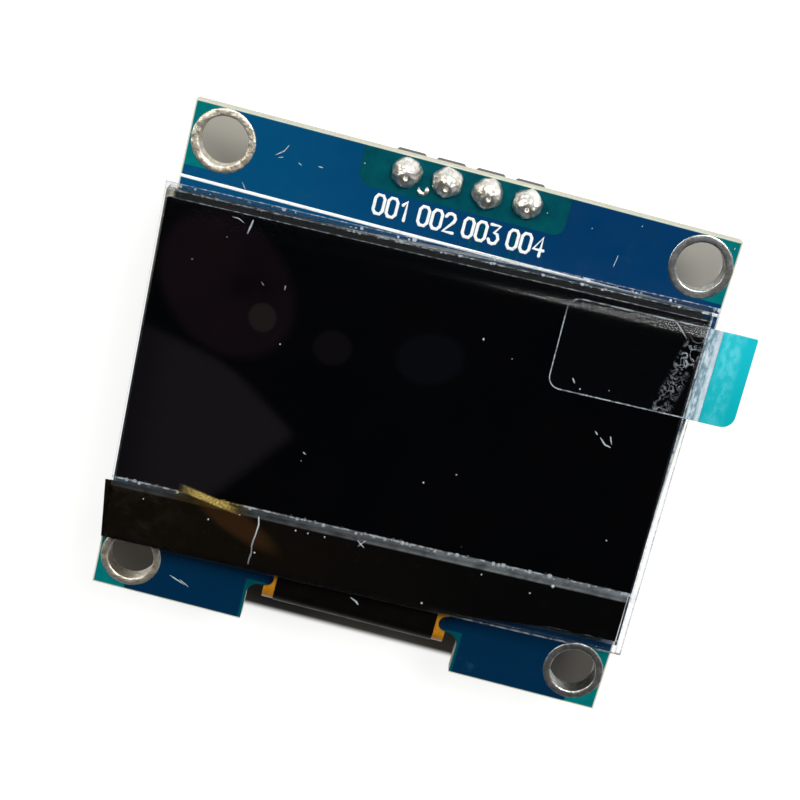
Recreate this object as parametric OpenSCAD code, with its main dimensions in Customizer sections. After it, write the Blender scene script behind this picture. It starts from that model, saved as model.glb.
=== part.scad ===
// Small OLED display module on a four-pin board.
// Millimetres. The origin is the centre of the four mounting holes, on the board's rear face.
// +Z is the way the display faces, +Y points to the header edge, +X to the right of the screen.

/* [Circuit board] */
// Width of the board
board_w = 34.3; // [34.2:0.1:36]
// Height of the board, from the notched edge to the header edge
board_h = 32.5; // [32.4:0.1:34]
// Thickness of the board
board_t = 1.2; // [1.0:0.1:1.6]
// How far the outline sits left of the hole pattern's centre
board_off_x = 0.05; // [0:0.01:0.08]
// How far the outline sits below the hole pattern's centre
board_off_y = 0.14; // [0:0.01:0.2]
// Width of the notch that lets the flex tail through
notch_w = 14.3; // [13.6:0.1:15]
// Depth of the notch, from the lower edge
notch_depth = 2.75; // [2.5:0.05:3]
// Radius of the notch's inner corners
notch_r = 0.8; // [0.5:0.1:1.2]

/* [Mounting holes] */
// Distance from the board's side edges to the holes, halfway between left and right
hole_edge_x = 2.1; // [2.1:0.05:2.4]
// Distance from the board's upper and lower edges to the holes, halfway between the two
hole_edge_y = 2.225; // [2.225:0.025:2.5]
// Clear bore of a plated hole
hole_d = 3.0; // [2.8:0.1:3.2]
// Outer diameter of the tinned ring around a hole
ring_d = 4.0; // [3.8:0.1:4.0]
// Thickness of the tinned ring on each face
ring_t = 0.07; // [0.04:0.01:0.12]
// Thickness of the plating inside the hole
plating_t = 0.05; // [0.03:0.01:0.1]

/* [Header] */
// Number of header pins
pin_count = 4; // [3:1:7]
// Pitch of the pins
pin_pitch = 2.54; // [2:0.27:2.54]
// Side of a square pin
pin_w = 0.64; // [0.5:0.02:0.66]
// Length of a pin below the header's plastic
pin_below = 4.0; // [3:0.5:11]
// How far a pin stands above the board's front, inside its solder
pin_above = 0.45; // [0.3:0.05:0.6]
// Distance from the board's header edge to the pin row
pin_edge = 1.05; // [1.05:0.05:1.5]
// Depth of the header's plastic, front to back of the row
header_w = 2.0; // [2:0.1:2.6]
// Height of the header's plastic
header_h = 1.5; // [1.5:0.1:3]
// Diameter of the drilled hole under a pin
pin_hole_d = 1.0; // [0.96:0.02:1.2]
// Diameter of a solder dome
solder_d = 1.96; // [1.6:0.02:2]
// Height of a solder dome above the board
solder_h = 0.9; // [0.75:0.05:1.1]

/* [Display panel] */
// Width of the panel's glass
panel_w = 33.9; // [33:0.1:34.5]
// Distance from the board's header edge to the panel's glass
panel_top_gap = 4.91; // [4.7:0.01:5.2]
// Distance from the board's notched edge to the panel's glass
panel_foot_gap = 4.99; // [4.9:0.01:5.3]
// Centre of the panel, to the right of the hole pattern's centre
panel_x = -0.3; // [-0.5:0.05:0.3]
// How far the hand-placed panel is turned on the board, in degrees
panel_skew = 1.7; // [-1.7:0.1:2]
// Thickness of the front glass
front_glass_t = 0.7; // [0.5:0.05:0.8]
// Thickness of the rear glass
rear_glass_t = 0.7; // [0.65:0.05:0.8]
// Thickness of the polarizer
polarizer_t = 0.2; // [0.15:0.01:0.3]
// How far the polarizer reaches past the rear glass, over the ledge
polarizer_over = 0.45; // [0.3:0.05:0.6]
// Bare glass above the polarizer
polarizer_top = 0.45; // [0.3:0.05:0.6]
// Bare glass at each side of the polarizer
polarizer_side = 0.15; // [0.05:0.05:0.5]
// Thickness of the foam tape behind the panel
foam_t = 0.25; // [0.25:0.05:0.6]
// How far the foam tape stops inside the rear glass
foam_inset = 0.25; // [0:0.05:2]

/* [Ledge] */
// Length of the driver chip behind the ledge
chip_l = 13; // [10:0.5:15]
// Width of the driver chip
chip_w = 1.1; // [0.8:0.05:1.2]
// Thickness of the driver chip
chip_t = 0.4; // [0.2:0.05:0.5]
// Gap from the rear glass to the driver chip
chip_gap = 0.6; // [0.3:0.05:0.9]
// Gap from the driver chip to the flex's bonded strip
chip_bond_gap = 0.7; // [0.6:0.05:1]
// Thickness of the black tape on the ledge
tape_t = 0.1; // [0.05:0.01:0.14]
// Gap between the polarizer and the tape
tape_gap = 0.25; // [0.1:0.05:0.4]
// How far the tape sticks out past the glass at its upper left corner
tape_out_top = 0.47; // [0.2:0.01:0.6]
// How far the tape sticks out past the glass at its lower left corner
tape_out_foot = 0.1; // [0:0.01:0.3]
// How far the tape stops short of the glass's right edge
tape_in_right = 0.2; // [0:0.05:0.4]
// How far the tape hangs below the glass
tape_drop = 0.45; // [0.2:0.05:0.45]
// How much of the tape's lower right corner is cut away
tape_cut_h = 0.77; // [0.3:0.01:1]
// Length of the cut-away stretch
tape_cut_l = 4.4; // [3:0.1:6]
// Run of the slanted cut that leads to it
tape_cut_run = 6.3; // [4:0.1:8]

/* [Protective film] */
// Thickness of the film
film_t = 0.08; // [0.05:0.01:0.12]
// How far the film reaches above the glass
film_top = 0.45; // [0.2:0.05:0.45]
// How far the film reaches below the glass
film_foot = 0.5; // [0.45:0.05:0.6]
// How far the film reaches past the glass on the left
film_left = 0.05; // [0:0.05:0.2]
// How far the film reaches past the glass on the right
film_right = 0.35; // [0.2:0.05:0.5]
// Run over which the film sinks from the polarizer to the ledge
film_slope = 0.5; // [0.4:0.05:0.8]

/* [Pull tab] */
// Length of the clear tab
tab_l = 11.75; // [9:0.05:14]
// Height of the clear tab
tab_h = 5.85; // [4:0.05:8]
// Thickness of the clear tab
tab_t = 0.07; // [0.05:0.01:0.12]
// How far the tab sticks out past the film
tab_out = 2.7; // [2.2:0.05:4]
// Distance from the film's upper edge to the tab
tab_down = 1.3; // [0.5:0.05:6]
// Corner radius of the tab
tab_r = 0.8; // [0.3:0.05:1]
// Length of the coloured grip at the tab's end
grip_l = 2.13; // [1.6:0.01:2.15]
// Thickness of the coloured grip
grip_t = 0.06; // [0.04:0.01:0.1]

/* [Flex tail] */
// Thickness of the flex
flex_t = 0.12; // [0.08:0.01:0.14]
// Width of the flex where it passes through the notch
flex_w = 12.2; // [11.6:0.1:12.6]
// Radius of the flex's fold, at the middle of its thickness
fold_r = 0.9; // [0.85:0.01:0.92]
// Gap from the notch's inner wall to the flex
fold_gap = 0.55; // [0.5:0.05:0.7]
// Width of the flex where it is bonded behind the ledge
bond_w = 15.4; // [14:0.1:16]
// Height of the bonded strip
bond_h = 1.4; // [1:0.1:1.4]
// Radius of the relief bites at the neck
relief_r = 0.55; // [0.4:0.05:0.6]
// Width of the flex's rear head
head_w = 19.2; // [18.8:0.1:21]
// Height of the rear head, above its shoulders
head_h = 3.4; // [3:0.1:4]
// Height of the shoulders that widen the neck to the head
shoulder_h = 0.9; // [0.5:0.1:1.2]
// Thickness of the black cover on the flex
cover_t = 0.05; // [0.03:0.01:0.06]
// Amber margin left bare beside the cover
cover_margin = 0.75; // [0.5:0.05:1]
// Number of contacts soldered to the board
contact_count = 30; // [24:1:30]
// Distance from the head's side edges to the row of contacts
contact_margin = 0.44; // [0.3:0.01:0.6]
// Width of a contact
contact_w = 0.34; // [0.25:0.01:0.4]
// Length of a contact
contact_l = 1.7; // [1.2:0.1:2]
// Thickness of the solder under the flex
contact_t = 0.09; // [0.07:0.01:0.1]

/* [Rear components] */
// Gap between the flex's head and the middle of the capacitor row
row_gap = 3.95; // [3:0.05:5]
// Distance from the capacitor row to the resistor row
row_pitch = 5; // [3:0.5:6]
// Place of the first part in each row, left of the middle
row_start = 8; // [7:0.5:9]
// Number of ceramic capacitors
capacitor_count = 6; // [1:1:6]
// Number of chip resistors
resistor_count = 4; // [1:1:4]
// Length of a chip capacitor or resistor
chip_part_l = 1.6; // [1.4:0.05:1.7]
// Width of a chip capacitor or resistor
chip_part_w = 0.8; // [0.7:0.05:0.9]
// Height of a capacitor
capacitor_h = 0.8; // [0.5:0.05:0.9]
// Height of a resistor
resistor_h = 0.45; // [0.35:0.05:0.6]
// Length of the metal end of a chip part
chip_end_l = 0.3; // [0.2:0.05:0.4]
// Pitch of the chip parts in their rows
chip_part_pitch = 2.6; // [2:0.1:2.8]
// Place of the regulator, right of the middle
regulator_x = 8.5; // [7:0.5:11]
// Length of the regulator's body
regulator_l = 2.9; // [2.7:0.1:3.1]
// Width of the regulator's body
regulator_w = 1.35; // [1.2:0.05:1.6]
// Height of the regulator's body
regulator_h = 0.95; // [0.8:0.05:1.1]

/* [Hidden] */
$fn = 64;

// Extra length that lets a cut pass clear through a face
cut = 1;

// How far the flex's bonded strip stays inside the glass's lower edge, which is skewed
bond_inside = 0.3;
// How far below the glass the black cover starts
cover_below = 0.4;
// Straight stretch of the neck between the bonded strip and the relief bites
neck_run = 1.05;
// How far the contacts show past the flex's end
contact_show = 0.5;

// Spacing of the mounting holes
hole_span_x = board_w - 2 * hole_edge_x;
hole_span_y = board_h - 2 * hole_edge_y;

// Edges of the board
board_top = board_h / 2 - board_off_y;
board_bottom = -board_h / 2 - board_off_y;
notch_wall_y = board_bottom + notch_depth;

// Heights of the layers above the board's rear face
rear_glass_z = board_t + foam_t;
front_glass_z = rear_glass_z + rear_glass_t;
polarizer_z = front_glass_z + front_glass_t;
film_z = polarizer_z + polarizer_t;
film_ledge_z = polarizer_z + tape_t;
film_top_z = film_z + film_t;

// Height of the front glass, with its ledge, and its centre above the hole pattern's centre
panel_h = board_h - panel_top_gap - panel_foot_gap;
panel_y = (board_top - panel_top_gap + board_bottom + panel_foot_gap) / 2;

// Edges inside the panel's own turned frame, whose origin is the glass's centre
panel_top = panel_h / 2;
panel_foot = -panel_h / 2;
panel_side = panel_w / 2;
ledge_h = bond_inside + bond_h + chip_bond_gap + chip_w + chip_gap;
rear_glass_foot = panel_foot + ledge_h;
polarizer_edge = panel_top - polarizer_top;
step_y = rear_glass_foot - polarizer_over;
film_edge = panel_top + film_top;
film_end = panel_side + film_right;
tab_end = film_end + tab_out;
tab_edge = film_edge - tab_down;

// Header row
pin_y = board_top - pin_edge;
pin_tip = 0.6;
header_chamfer = 0.45;

// Fold of the flex: the middle of its thickness runs through these levels
fold_y = notch_wall_y - fold_gap - flex_t / 2 + fold_r;
fold_front_z = front_glass_z - flex_t / 2 - fold_r;
fold_rear_z = fold_r - flex_t / 2 - contact_t;
flex_rear_z = -contact_t - flex_t;
bond_foot_y = panel_y + panel_foot + bond_inside;
relief_y = bond_foot_y - relief_r - neck_run;
head_foot_y = fold_y + 0.1;
head_top_y = head_foot_y + shoulder_h + head_h;
cover_start_y = panel_y + panel_foot - cover_below;

// Pitch of the contacts, which share the head's width
contact_pitch = (head_w - 2 * contact_margin - contact_w) / (contact_count - 1);

// Rows of parts on the rear face
capacitor_row_y = head_top_y + row_gap;
resistor_row_y = capacitor_row_y + row_pitch;
pad_t = 0.05;
pad_out = 0.4;
pad_in = 0.35;
chip_end_skin = 0.02;
lead_w = 0.4;
lead_t = 0.12;
lead_spread = 0.95;
lead_bury = 0.2;
lead_bend = 0.2;
lead_foot = 0.55;
body_lift = 0.08;

// X of a header pin, counted from 1
function pin_x(i) = (i - (pin_count + 1) / 2) * pin_pitch;

// X of a chip part in its row, counted from 1
function row_x(i) = -row_start + (i - 1) * chip_part_pitch;

// Mounting hole centres, clockwise from the upper left
function hole_x(i) = (i == 1 || i == 4 ? -1 : 1) * hole_span_x / 2;
function hole_y(i) = (i <= 2 ? 1 : -1) * hole_span_y / 2;

// Points of a quarter ellipse, from the r axis up to the z axis
function dome(r, h) = [for (a = [0:15:90]) [r * cos(a), h * sin(a)]];

// Rectangle from its lower left corner, with four round corners
module rounded(w, h, r) {
    translate([r, 0]) square([w - 2 * r, h]);
    translate([0, r]) square([w, h - 2 * r]);
    for (x = [r, w - r], y = [r, h - r]) translate([x, y]) circle(r);
}

// Places its children on the panel, turned as the panel is
module on_panel(z) {
    translate([panel_x, panel_y, z]) rotate(panel_skew) children();
}

// Slab on the panel between two corners of the panel's frame
module panel_slab(x0, y0, x1, y1, z, t) {
    on_panel(z) translate([x0, y0, 0]) cube([x1 - x0, y1 - y0, t]);
}

// Extrudes a side view, drawn as y and z, to both sides of x = 0
module side_view(w) {
    rotate([90, 0, 90]) linear_extrude(w, center = true) children();
}

module circuit_board() {
    color("midnightblue") linear_extrude(board_t) difference() {
        translate([-board_w / 2 - board_off_x, board_bottom]) square([board_w, board_h]);
        translate([-notch_w / 2, board_bottom - cut - notch_r])
            rounded(notch_w, notch_depth + cut + notch_r, notch_r);
        for (i = [1:4]) translate([hole_x(i), hole_y(i)]) circle(hole_d / 2 + plating_t);
        for (i = [1:pin_count]) translate([pin_x(i), pin_y]) circle(pin_hole_d / 2);
    }
}

// Eyelet of tinned copper: a ring on each face and the plating between them
module mounting_ring(i) {
    bore = hole_d / 2;
    wall = bore + plating_t;
    lip = ring_d / 2;
    color("silver") translate([hole_x(i), hole_y(i), 0]) rotate_extrude() polygon([
        [bore, -ring_t], [lip - ring_t, -ring_t], [lip, 0], [wall, 0],
        [wall, board_t], [lip, board_t], [lip - ring_t, board_t + ring_t], [bore, board_t + ring_t]
    ]);
}

// Plastic of one pin's cell, with its corners cut off
module header_cell() {
    a = pin_pitch / 2;
    b = header_w / 2;
    c = header_chamfer;
    intersection() {
        square([2 * a, 2 * b], center = true);
        rotate(45) square(sqrt(2) * (a + b - c), center = true);
    }
}

module header_body() {
    color("black") translate([0, pin_y, -header_h]) linear_extrude(header_h) difference() {
        for (i = [1:pin_count]) translate([pin_x(i), 0]) header_cell();
        for (i = [1:pin_count]) translate([pin_x(i), 0]) square(pin_w, center = true);
    }
}

// Side of a square pin, tapered at both ends
module pin_side() {
    low = -header_h - pin_below;
    high = board_t + pin_above;
    half = pin_w / 2;
    rotate([90, 0, 0]) linear_extrude(pin_w, center = true) polygon([
        [-half / 2, low], [half / 2, low], [half, low + pin_tip], [half, high - half / 2],
        [half / 2, high], [-half / 2, high], [-half, high - half / 2], [-half, low + pin_tip]
    ]);
}

module header_pin(i) {
    color("gold") translate([pin_x(i), pin_y, 0]) intersection() {
        pin_side();
        rotate(90) pin_side();
    }
}

// Solder that fills the drilled hole around a pin and rises over its tip
module solder_joint(i) {
    color("gainsboro") translate([pin_x(i), pin_y, 0]) difference() {
        union() {
            cylinder(h = board_t, d = pin_hole_d);
            translate([0, 0, board_t]) rotate_extrude()
                polygon(concat([[0, 0]], dome(solder_d / 2, solder_h)));
        }
        intersection() {
            pin_side();
            rotate(90) pin_side();
        }
    }
}

module foam_tape() {
    color("dimgray") panel_slab(
        -panel_side + foam_inset, rear_glass_foot + foam_inset,
        panel_side - foam_inset, panel_top - foam_inset, board_t, foam_t
    );
}

module rear_glass() {
    color("darkslategray")
        panel_slab(-panel_side, rear_glass_foot, panel_side, panel_top, rear_glass_z, rear_glass_t);
}

module front_glass() {
    color("lightslategray")
        panel_slab(-panel_side, panel_foot, panel_side, panel_top, front_glass_z, front_glass_t);
}

module polarizer() {
    x = panel_side - polarizer_side;
    color("black") panel_slab(-x, step_y, x, polarizer_edge, polarizer_z, polarizer_t);
}

module driver_chip() {
    top = rear_glass_foot - chip_gap;
    color("slategray")
        panel_slab(-chip_l / 2, top - chip_w, chip_l / 2, top, front_glass_z - chip_t, chip_t);
}

// Hand-cut black tape that hides the ledge, with its lower right corner cut away
module ledge_tape() {
    top = step_y - tape_gap;
    low = panel_foot - tape_drop;
    right = panel_side - tape_in_right;
    color("#15120f") on_panel(polarizer_z) linear_extrude(tape_t) polygon([
        [-panel_side - tape_out_top, top], [right, top],
        [right, low + tape_cut_h], [right - tape_cut_l, low + tape_cut_h],
        [right - tape_cut_l - tape_cut_run, low], [-panel_side - tape_out_foot, low]
    ]);
}

// Clear film that lies on the polarizer, sinks over its lower edge and lies on the ledge
module protective_film() {
    low = panel_foot - film_foot;
    left = -panel_side - film_left;
    color("white", 0.3) on_panel(0) translate([(left + film_end) / 2, 0, 0])
        side_view(film_end - left) polygon([
        [film_edge, film_z], [film_edge, film_top_z], [step_y, film_top_z],
        [step_y - film_slope, film_ledge_z + film_t], [low, film_ledge_z + film_t],
        [low, film_ledge_z], [step_y - film_slope, film_ledge_z], [step_y, film_z]
    ]);
}

module pull_tab() {
    color("white", 0.4) on_panel(film_top_z) translate([tab_end - tab_l, tab_edge - tab_h, 0])
        linear_extrude(tab_t) rounded(tab_l, tab_h, tab_r);
}

module tab_grip() {
    color("darkturquoise") on_panel(film_top_z + tab_t) linear_extrude(grip_t) intersection() {
        translate([tab_end - tab_l, tab_edge - tab_h]) rounded(tab_l, tab_h, tab_r);
        translate([tab_end - grip_l, tab_edge - tab_h]) square([grip_l, tab_h]);
    }
}

// Quarter of a ring about the origin, on its -y side; up is 1 or -1
module quarter_band(inner, outer, up) {
    intersection() {
        difference() {
            circle(outer);
            circle(inner);
        }
        translate([-outer, up > 0 ? 0 : -outer]) square(outer);
    }
}

// Side view of a layer that follows the fold, from one side of the flex's middle to the other
module fold_band(inner, outer, front_y, rear_y) {
    r0 = fold_r + inner;
    r1 = fold_r + outer;
    translate([fold_y, fold_front_z + r0]) square([front_y - fold_y, r1 - r0]);
    translate([fold_y, fold_front_z]) quarter_band(r0, r1, 1);
    translate([fold_y - r1, fold_rear_z]) square([r1 - r0, fold_front_z - fold_rear_z]);
    translate([fold_y, fold_rear_z]) quarter_band(r0, r1, -1);
    translate([fold_y, fold_rear_z - r1]) square([rear_y - fold_y, r1 - r0]);
}

// Outline of the flex behind the board: shoulders and head, pulled in by a margin
module head_outline(margin, top) {
    a = flex_w / 2 - margin;
    b = head_w / 2 - margin;
    shoulder = head_foot_y + shoulder_h + margin / 2;
    polygon([[-a, head_foot_y], [a, head_foot_y], [b, shoulder], [b, top], [-b, top], [-b, shoulder]]);
}

module flex_tail() {
    color("darkgoldenrod") difference() {
        union() {
            translate([-bond_w / 2, bond_foot_y, front_glass_z - flex_t]) cube([bond_w, bond_h, flex_t]);
            side_view(flex_w) fold_band(-flex_t / 2, flex_t / 2, bond_foot_y + bond_h / 2, head_foot_y + cut);
            translate([0, 0, flex_rear_z]) linear_extrude(flex_t) head_outline(0, head_top_y);
        }
        for (side = [-1, 1]) translate([side * flex_w / 2, relief_y, front_glass_z - flex_t - cut])
            cylinder(h = flex_t + 2 * cut, r = relief_r);
    }
}

module flex_cover() {
    w = flex_w - 2 * cover_margin;
    color("#1a1a1c") {
        side_view(w) fold_band(flex_t / 2, flex_t / 2 + cover_t, cover_start_y, head_foot_y + cut);
        translate([0, 0, flex_rear_z - cover_t]) linear_extrude(cover_t)
            head_outline(cover_margin, head_top_y - contact_l);
    }
}

// Row of soldered contacts between the flex's head and the board
module flex_solder() {
    color("silver") for (i = [1:contact_count]) {
        x = (i - (contact_count + 1) / 2) * contact_pitch - contact_w / 2;
        translate([x, head_top_y + contact_show - contact_l, -contact_t])
            cube([contact_w, contact_l, contact_t]);
    }
}

// Chip part that lies across its row: a body between two slightly larger metal ends
module chip_part(h) {
    skin = chip_end_skin;
    mirror([0, 0, 1]) translate([0, 0, pad_t]) {
        translate([-chip_part_w / 2 + skin, -chip_part_l / 2 + skin, skin])
            cube([chip_part_w - 2 * skin, chip_part_l - 2 * skin, h - 2 * skin]);
        for (side = [0, 1]) mirror([0, side, 0])
            translate([-chip_part_w / 2, chip_part_l / 2 - chip_end_l, 0])
                cube([chip_part_w, chip_end_l, h]);
    }
}

module capacitor(i) {
    color("burlywood") translate([row_x(i), capacitor_row_y, 0]) chip_part(capacitor_h);
}

module resistor(i) {
    color("#202020") translate([row_x(i), resistor_row_y, 0]) chip_part(resistor_h);
}

// Solder under and beside both ends of a chip part
module chip_part_solder(h) {
    end = chip_part_l / 2;
    for (side = [0, 1]) mirror([0, side, 0]) mirror([0, 0, 1]) side_view(chip_part_w) polygon([
        [end - pad_in, 0], [end + pad_out, 0], [end + pad_out, pad_t],
        [end, pad_t + h * 0.6], [end, pad_t], [end - pad_in, pad_t]
    ]);
}

// Side view of one bent lead of the regulator, outward from its body's middle
module lead_side() {
    face = regulator_w / 2;
    knee = face + lead_bend;
    mid = regulator_h / 2;
    polygon([
        [face - lead_bury, mid], [knee, mid], [knee, 0], [face + lead_foot, 0],
        [face + lead_foot, lead_t], [knee + lead_t, lead_t], [knee + lead_t, mid + lead_t],
        [face - lead_bury, mid + lead_t]
    ]);
}

// Positions of the regulator's three leads: two on one side, one on the other
module each_lead() {
    for (place = [[-lead_spread, 0], [lead_spread, 0], [0, 1]])
        translate([place[0], 0, 0]) mirror([0, place[1], 0]) children();
}

module at_regulator() {
    translate([regulator_x, resistor_row_y, -pad_t]) mirror([0, 0, 1]) children();
}

module regulator_leads() {
    color("silver") at_regulator() each_lead() side_view(lead_w) lead_side();
}

module regulator_body() {
    color("#1c1c1e") at_regulator() difference() {
        translate([-regulator_l / 2, -regulator_w / 2, body_lift])
            cube([regulator_l, regulator_w, regulator_h - body_lift]);
        each_lead() side_view(lead_w) lead_side();
    }
}

module component_solder() {
    color("gainsboro") {
        for (i = [1:capacitor_count]) translate([row_x(i), capacitor_row_y, 0]) chip_part_solder(capacitor_h);
        for (i = [1:resistor_count]) translate([row_x(i), resistor_row_y, 0]) chip_part_solder(resistor_h);
        translate([regulator_x, resistor_row_y, -pad_t]) each_lead()
            translate([-lead_w, (regulator_w + lead_bend) / 2, 0]) cube([2 * lead_w, 2 * lead_w, pad_t]);
    }
}

circuit_board();
for (i = [1:4]) mounting_ring(i);
header_body();
for (i = [1:pin_count]) header_pin(i);
for (i = [1:pin_count]) solder_joint(i);
foam_tape();
rear_glass();
front_glass();
polarizer();
driver_chip();
ledge_tape();
flex_tail();
flex_cover();
flex_solder();
protective_film();
pull_tab();
tab_grip();
for (i = [1:capacitor_count]) capacitor(i);
for (i = [1:resistor_count]) resistor(i);
component_solder();
regulator_body();
regulator_leads();
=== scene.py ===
# %% [markdown]
# # A small display module, dressed cell by cell
#
# The module is a black glass screen stuck on a blue circuit board, with a row of soldered pins above it.
# Its clear protective film and pull tab are still on. The solid model gives every piece its place and size.
# This script adds what a solid model leaves out: lumpy solder, printed lines, dust under the film, and
# finishes.

# %% Load the frame
import math
import random

import bmesh
import bpy
from mathutils import Matrix, Vector, noise


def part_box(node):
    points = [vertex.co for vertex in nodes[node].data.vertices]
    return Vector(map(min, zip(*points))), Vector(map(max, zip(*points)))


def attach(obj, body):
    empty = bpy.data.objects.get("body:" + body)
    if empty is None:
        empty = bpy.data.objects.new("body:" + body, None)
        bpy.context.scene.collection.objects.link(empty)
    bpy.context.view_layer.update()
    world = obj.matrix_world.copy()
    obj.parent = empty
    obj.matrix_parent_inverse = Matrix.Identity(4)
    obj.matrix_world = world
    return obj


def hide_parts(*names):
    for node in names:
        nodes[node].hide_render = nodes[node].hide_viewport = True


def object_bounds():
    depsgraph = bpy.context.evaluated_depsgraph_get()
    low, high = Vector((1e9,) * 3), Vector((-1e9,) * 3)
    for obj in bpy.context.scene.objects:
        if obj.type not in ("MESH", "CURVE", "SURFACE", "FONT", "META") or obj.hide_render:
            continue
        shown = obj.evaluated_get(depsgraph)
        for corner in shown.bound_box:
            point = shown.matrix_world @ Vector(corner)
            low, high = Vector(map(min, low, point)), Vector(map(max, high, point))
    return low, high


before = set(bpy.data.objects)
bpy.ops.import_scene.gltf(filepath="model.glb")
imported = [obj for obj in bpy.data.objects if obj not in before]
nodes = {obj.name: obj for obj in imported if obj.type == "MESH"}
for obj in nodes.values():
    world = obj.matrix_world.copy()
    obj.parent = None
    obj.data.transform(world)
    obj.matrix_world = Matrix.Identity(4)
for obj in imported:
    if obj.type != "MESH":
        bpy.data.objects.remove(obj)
cad_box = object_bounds()
MM = 0.001


def shown(values):
    """Measures in millimetres, rounded for printing."""
    return [round(value, 2) for value in values]


print(len(nodes), "solid pieces; box in mm:", [shown(corner / MM) for corner in cad_box])

# %% [markdown]
# ## Measuring the solid pieces
#
# Every new piece has to sit exactly where its solid is. Numbers could be copied by hand, but they would go
# stale as soon as a size changes. It is safer to measure the solids, so this cell turns their boxes into
# millimetres.

# %% Measure the pieces
def box_mm(name):
    """Lowest and highest corner of a solid piece, in millimetres."""
    return [Vector(corner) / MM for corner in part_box(name)]


board_low, board_high = box_mm("circuit_board")
board_top = board_high.z
rings = [box_mm(f"mounting_ring_{i}") for i in range(1, 5)]
holes = [(low + high) / 2 for low, high in rings]
joints = [box_mm(name) for name in sorted(nodes) if name.startswith("solder_joint_")]
pins = [(low + high) / 2 for low, high in joints]
print("board", shown(board_high - board_low), "mm;", len(pins), "pins at y", round(pins[0].y, 2))

# %% [markdown]
# ## The panel's own frame
#
# The screen was stuck on by hand, a little askew. A rectangle that is turned to the left has its lowest
# corner at the lower left and its rightmost corner at the lower right, so those two corners give the turn.
# With a matrix for that turn, everything on the panel can be laid out along straight x and y, and turned at
# the end.

# %% Find the panel's place and turn
glass_corners = [vertex.co / MM for vertex in nodes["front_glass"].data.vertices]
lower_left = min(glass_corners, key=lambda corner: corner.y)
lower_right = max(glass_corners, key=lambda corner: corner.x)
skew = math.atan2(lower_right.y - lower_left.y, lower_right.x - lower_left.x)
glass_low, glass_high = box_mm("front_glass")
panel_centre = Vector(((glass_low.x + glass_high.x) / 2, (glass_low.y + glass_high.y) / 2, 0))
panel_matrix = Matrix.Translation(panel_centre) @ Matrix.Rotation(skew, 4, "Z")


def panel_box(name):
    """Lowest and highest corner of a solid piece along the panel's own x and y, in millimetres."""
    points = [panel_matrix.inverted() @ (vertex.co / MM) for vertex in nodes[name].data.vertices]
    return (
        Vector([min(p[axis] for p in points) for axis in range(3)]),
        Vector([max(p[axis] for p in points) for axis in range(3)]),
    )


glass = panel_box("front_glass")
polar = panel_box("polarizer")
film = panel_box("protective_film")
tape = panel_box("ledge_tape")
tab = panel_box("pull_tab")
grip = panel_box("tab_grip")
print("panel turned by", round(math.degrees(skew), 2), "degrees; glass", shown(glass[1] - glass[0]))

# %% [markdown]
# ## The camera
#
# The module is seen from above and a little from its pin side, from about 100 mm away, and turned
# clockwise. A camera could be turned by hand with three angles. Aiming it at a point and then rolling it
# about its own axis is easier to think about, so the roll is one number and the aim another.

# %% Place the camera
camera_place = Vector((-2.95, 28.89, 97.25)) * MM
camera_aim = Vector((-0.62, 0.98, 1.2)) * MM
camera_roll = math.radians(14.98)
camera_lens = 71.16

camera_data = bpy.data.cameras.new("camera")
camera_data.lens = camera_lens
camera_data.clip_start = 1 * MM
camera = bpy.data.objects.new("camera", camera_data)
bpy.context.collection.objects.link(camera)
forward = (camera_aim - camera_place).normalized()
upright = Vector((0, 1, 0)) - forward * forward.y
upright.normalize()
up = Matrix.Rotation(camera_roll, 3, -forward) @ upright
right = forward.cross(up)
camera.matrix_world = Matrix.Translation(camera_place) @ Matrix((right, up, -forward)).transposed().to_4x4()
bpy.context.scene.camera = camera
print("camera", round((camera_place - camera_aim).length / MM, 1), "mm away")

# %% [markdown]
# ## Tools for shader nodes
#
# A finish such as solder or dusty film is a small network of shader nodes. Nodes can be placed by mouse,
# but in a script a few helpers keep the recipes short: one adds a node, one does arithmetic, and one turns
# a value into a soft mask. All of them work in millimetres, because dust and scratches are easiest to judge
# in millimetres.

# %% Helpers for nodes
def feed(socket, value):
    """Sets a socket to a plain value, or links it to another node's output."""
    if isinstance(value, bpy.types.NodeSocket):
        socket.id_data.links.new(value, socket)
    elif value is not None:
        socket.default_value = value


def wire(tree, kind, inputs, out=0, **settings):
    """Adds one shader node, feeds the named or numbered inputs, and returns one of its outputs."""
    added = tree.nodes.new("ShaderNode" + kind)
    for key, value in settings.items():
        setattr(added, key, value)
    for key, value in inputs.items():
        feed(added.inputs[key], value)
    return added.outputs[out]


def calc(operation, a, b=None):
    """Arithmetic on one or two numbers, of which at least one is another node's output."""
    linked = a if isinstance(a, bpy.types.NodeSocket) else b
    return wire(linked.id_data, "Math", {0: a, 1: b}, operation=operation)


def plus(a, b):
    """Two numbers added."""
    return calc("ADD", a, b)


def minus(a, b):
    """The first number less the second."""
    return calc("SUBTRACT", a, b)


def inset(value, low, high):
    """How far inside a stretch a value is: its lesser distance from the two ends."""
    return calc("MINIMUM", minus(value, low), minus(high, value))


def product(*values):
    """All the values multiplied together: where any mask is 0, so is the result."""
    result = values[0]
    for value in values[1:]:
        result = calc("MULTIPLY", result, value)
    return result


def length_of(a, b):
    """The length of a slanted line from its two sides."""
    return calc("SQRT", plus(product(a, a), product(b, b)))


def largest(*values):
    """The greatest of the values: several masks laid over each other."""
    result = values[0]
    for value in values[1:]:
        result = calc("MAXIMUM", result, value)
    return result


def fade(value, start, end):
    """A soft mask that is 0 at start and 1 at end; start may be the greater."""
    inputs = {"Value": value, "From Min": start, "From Max": end}
    return wire(value.id_data, "MapRange", inputs, interpolation_type="SMOOTHSTEP")


def blend(mask, first, second):
    """The first colour where the mask is 0 and the second where it is 1."""
    return wire(mask.id_data, "Mix", {0: mask, 6: first, 7: second}, out=2, data_type="RGBA")


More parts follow.
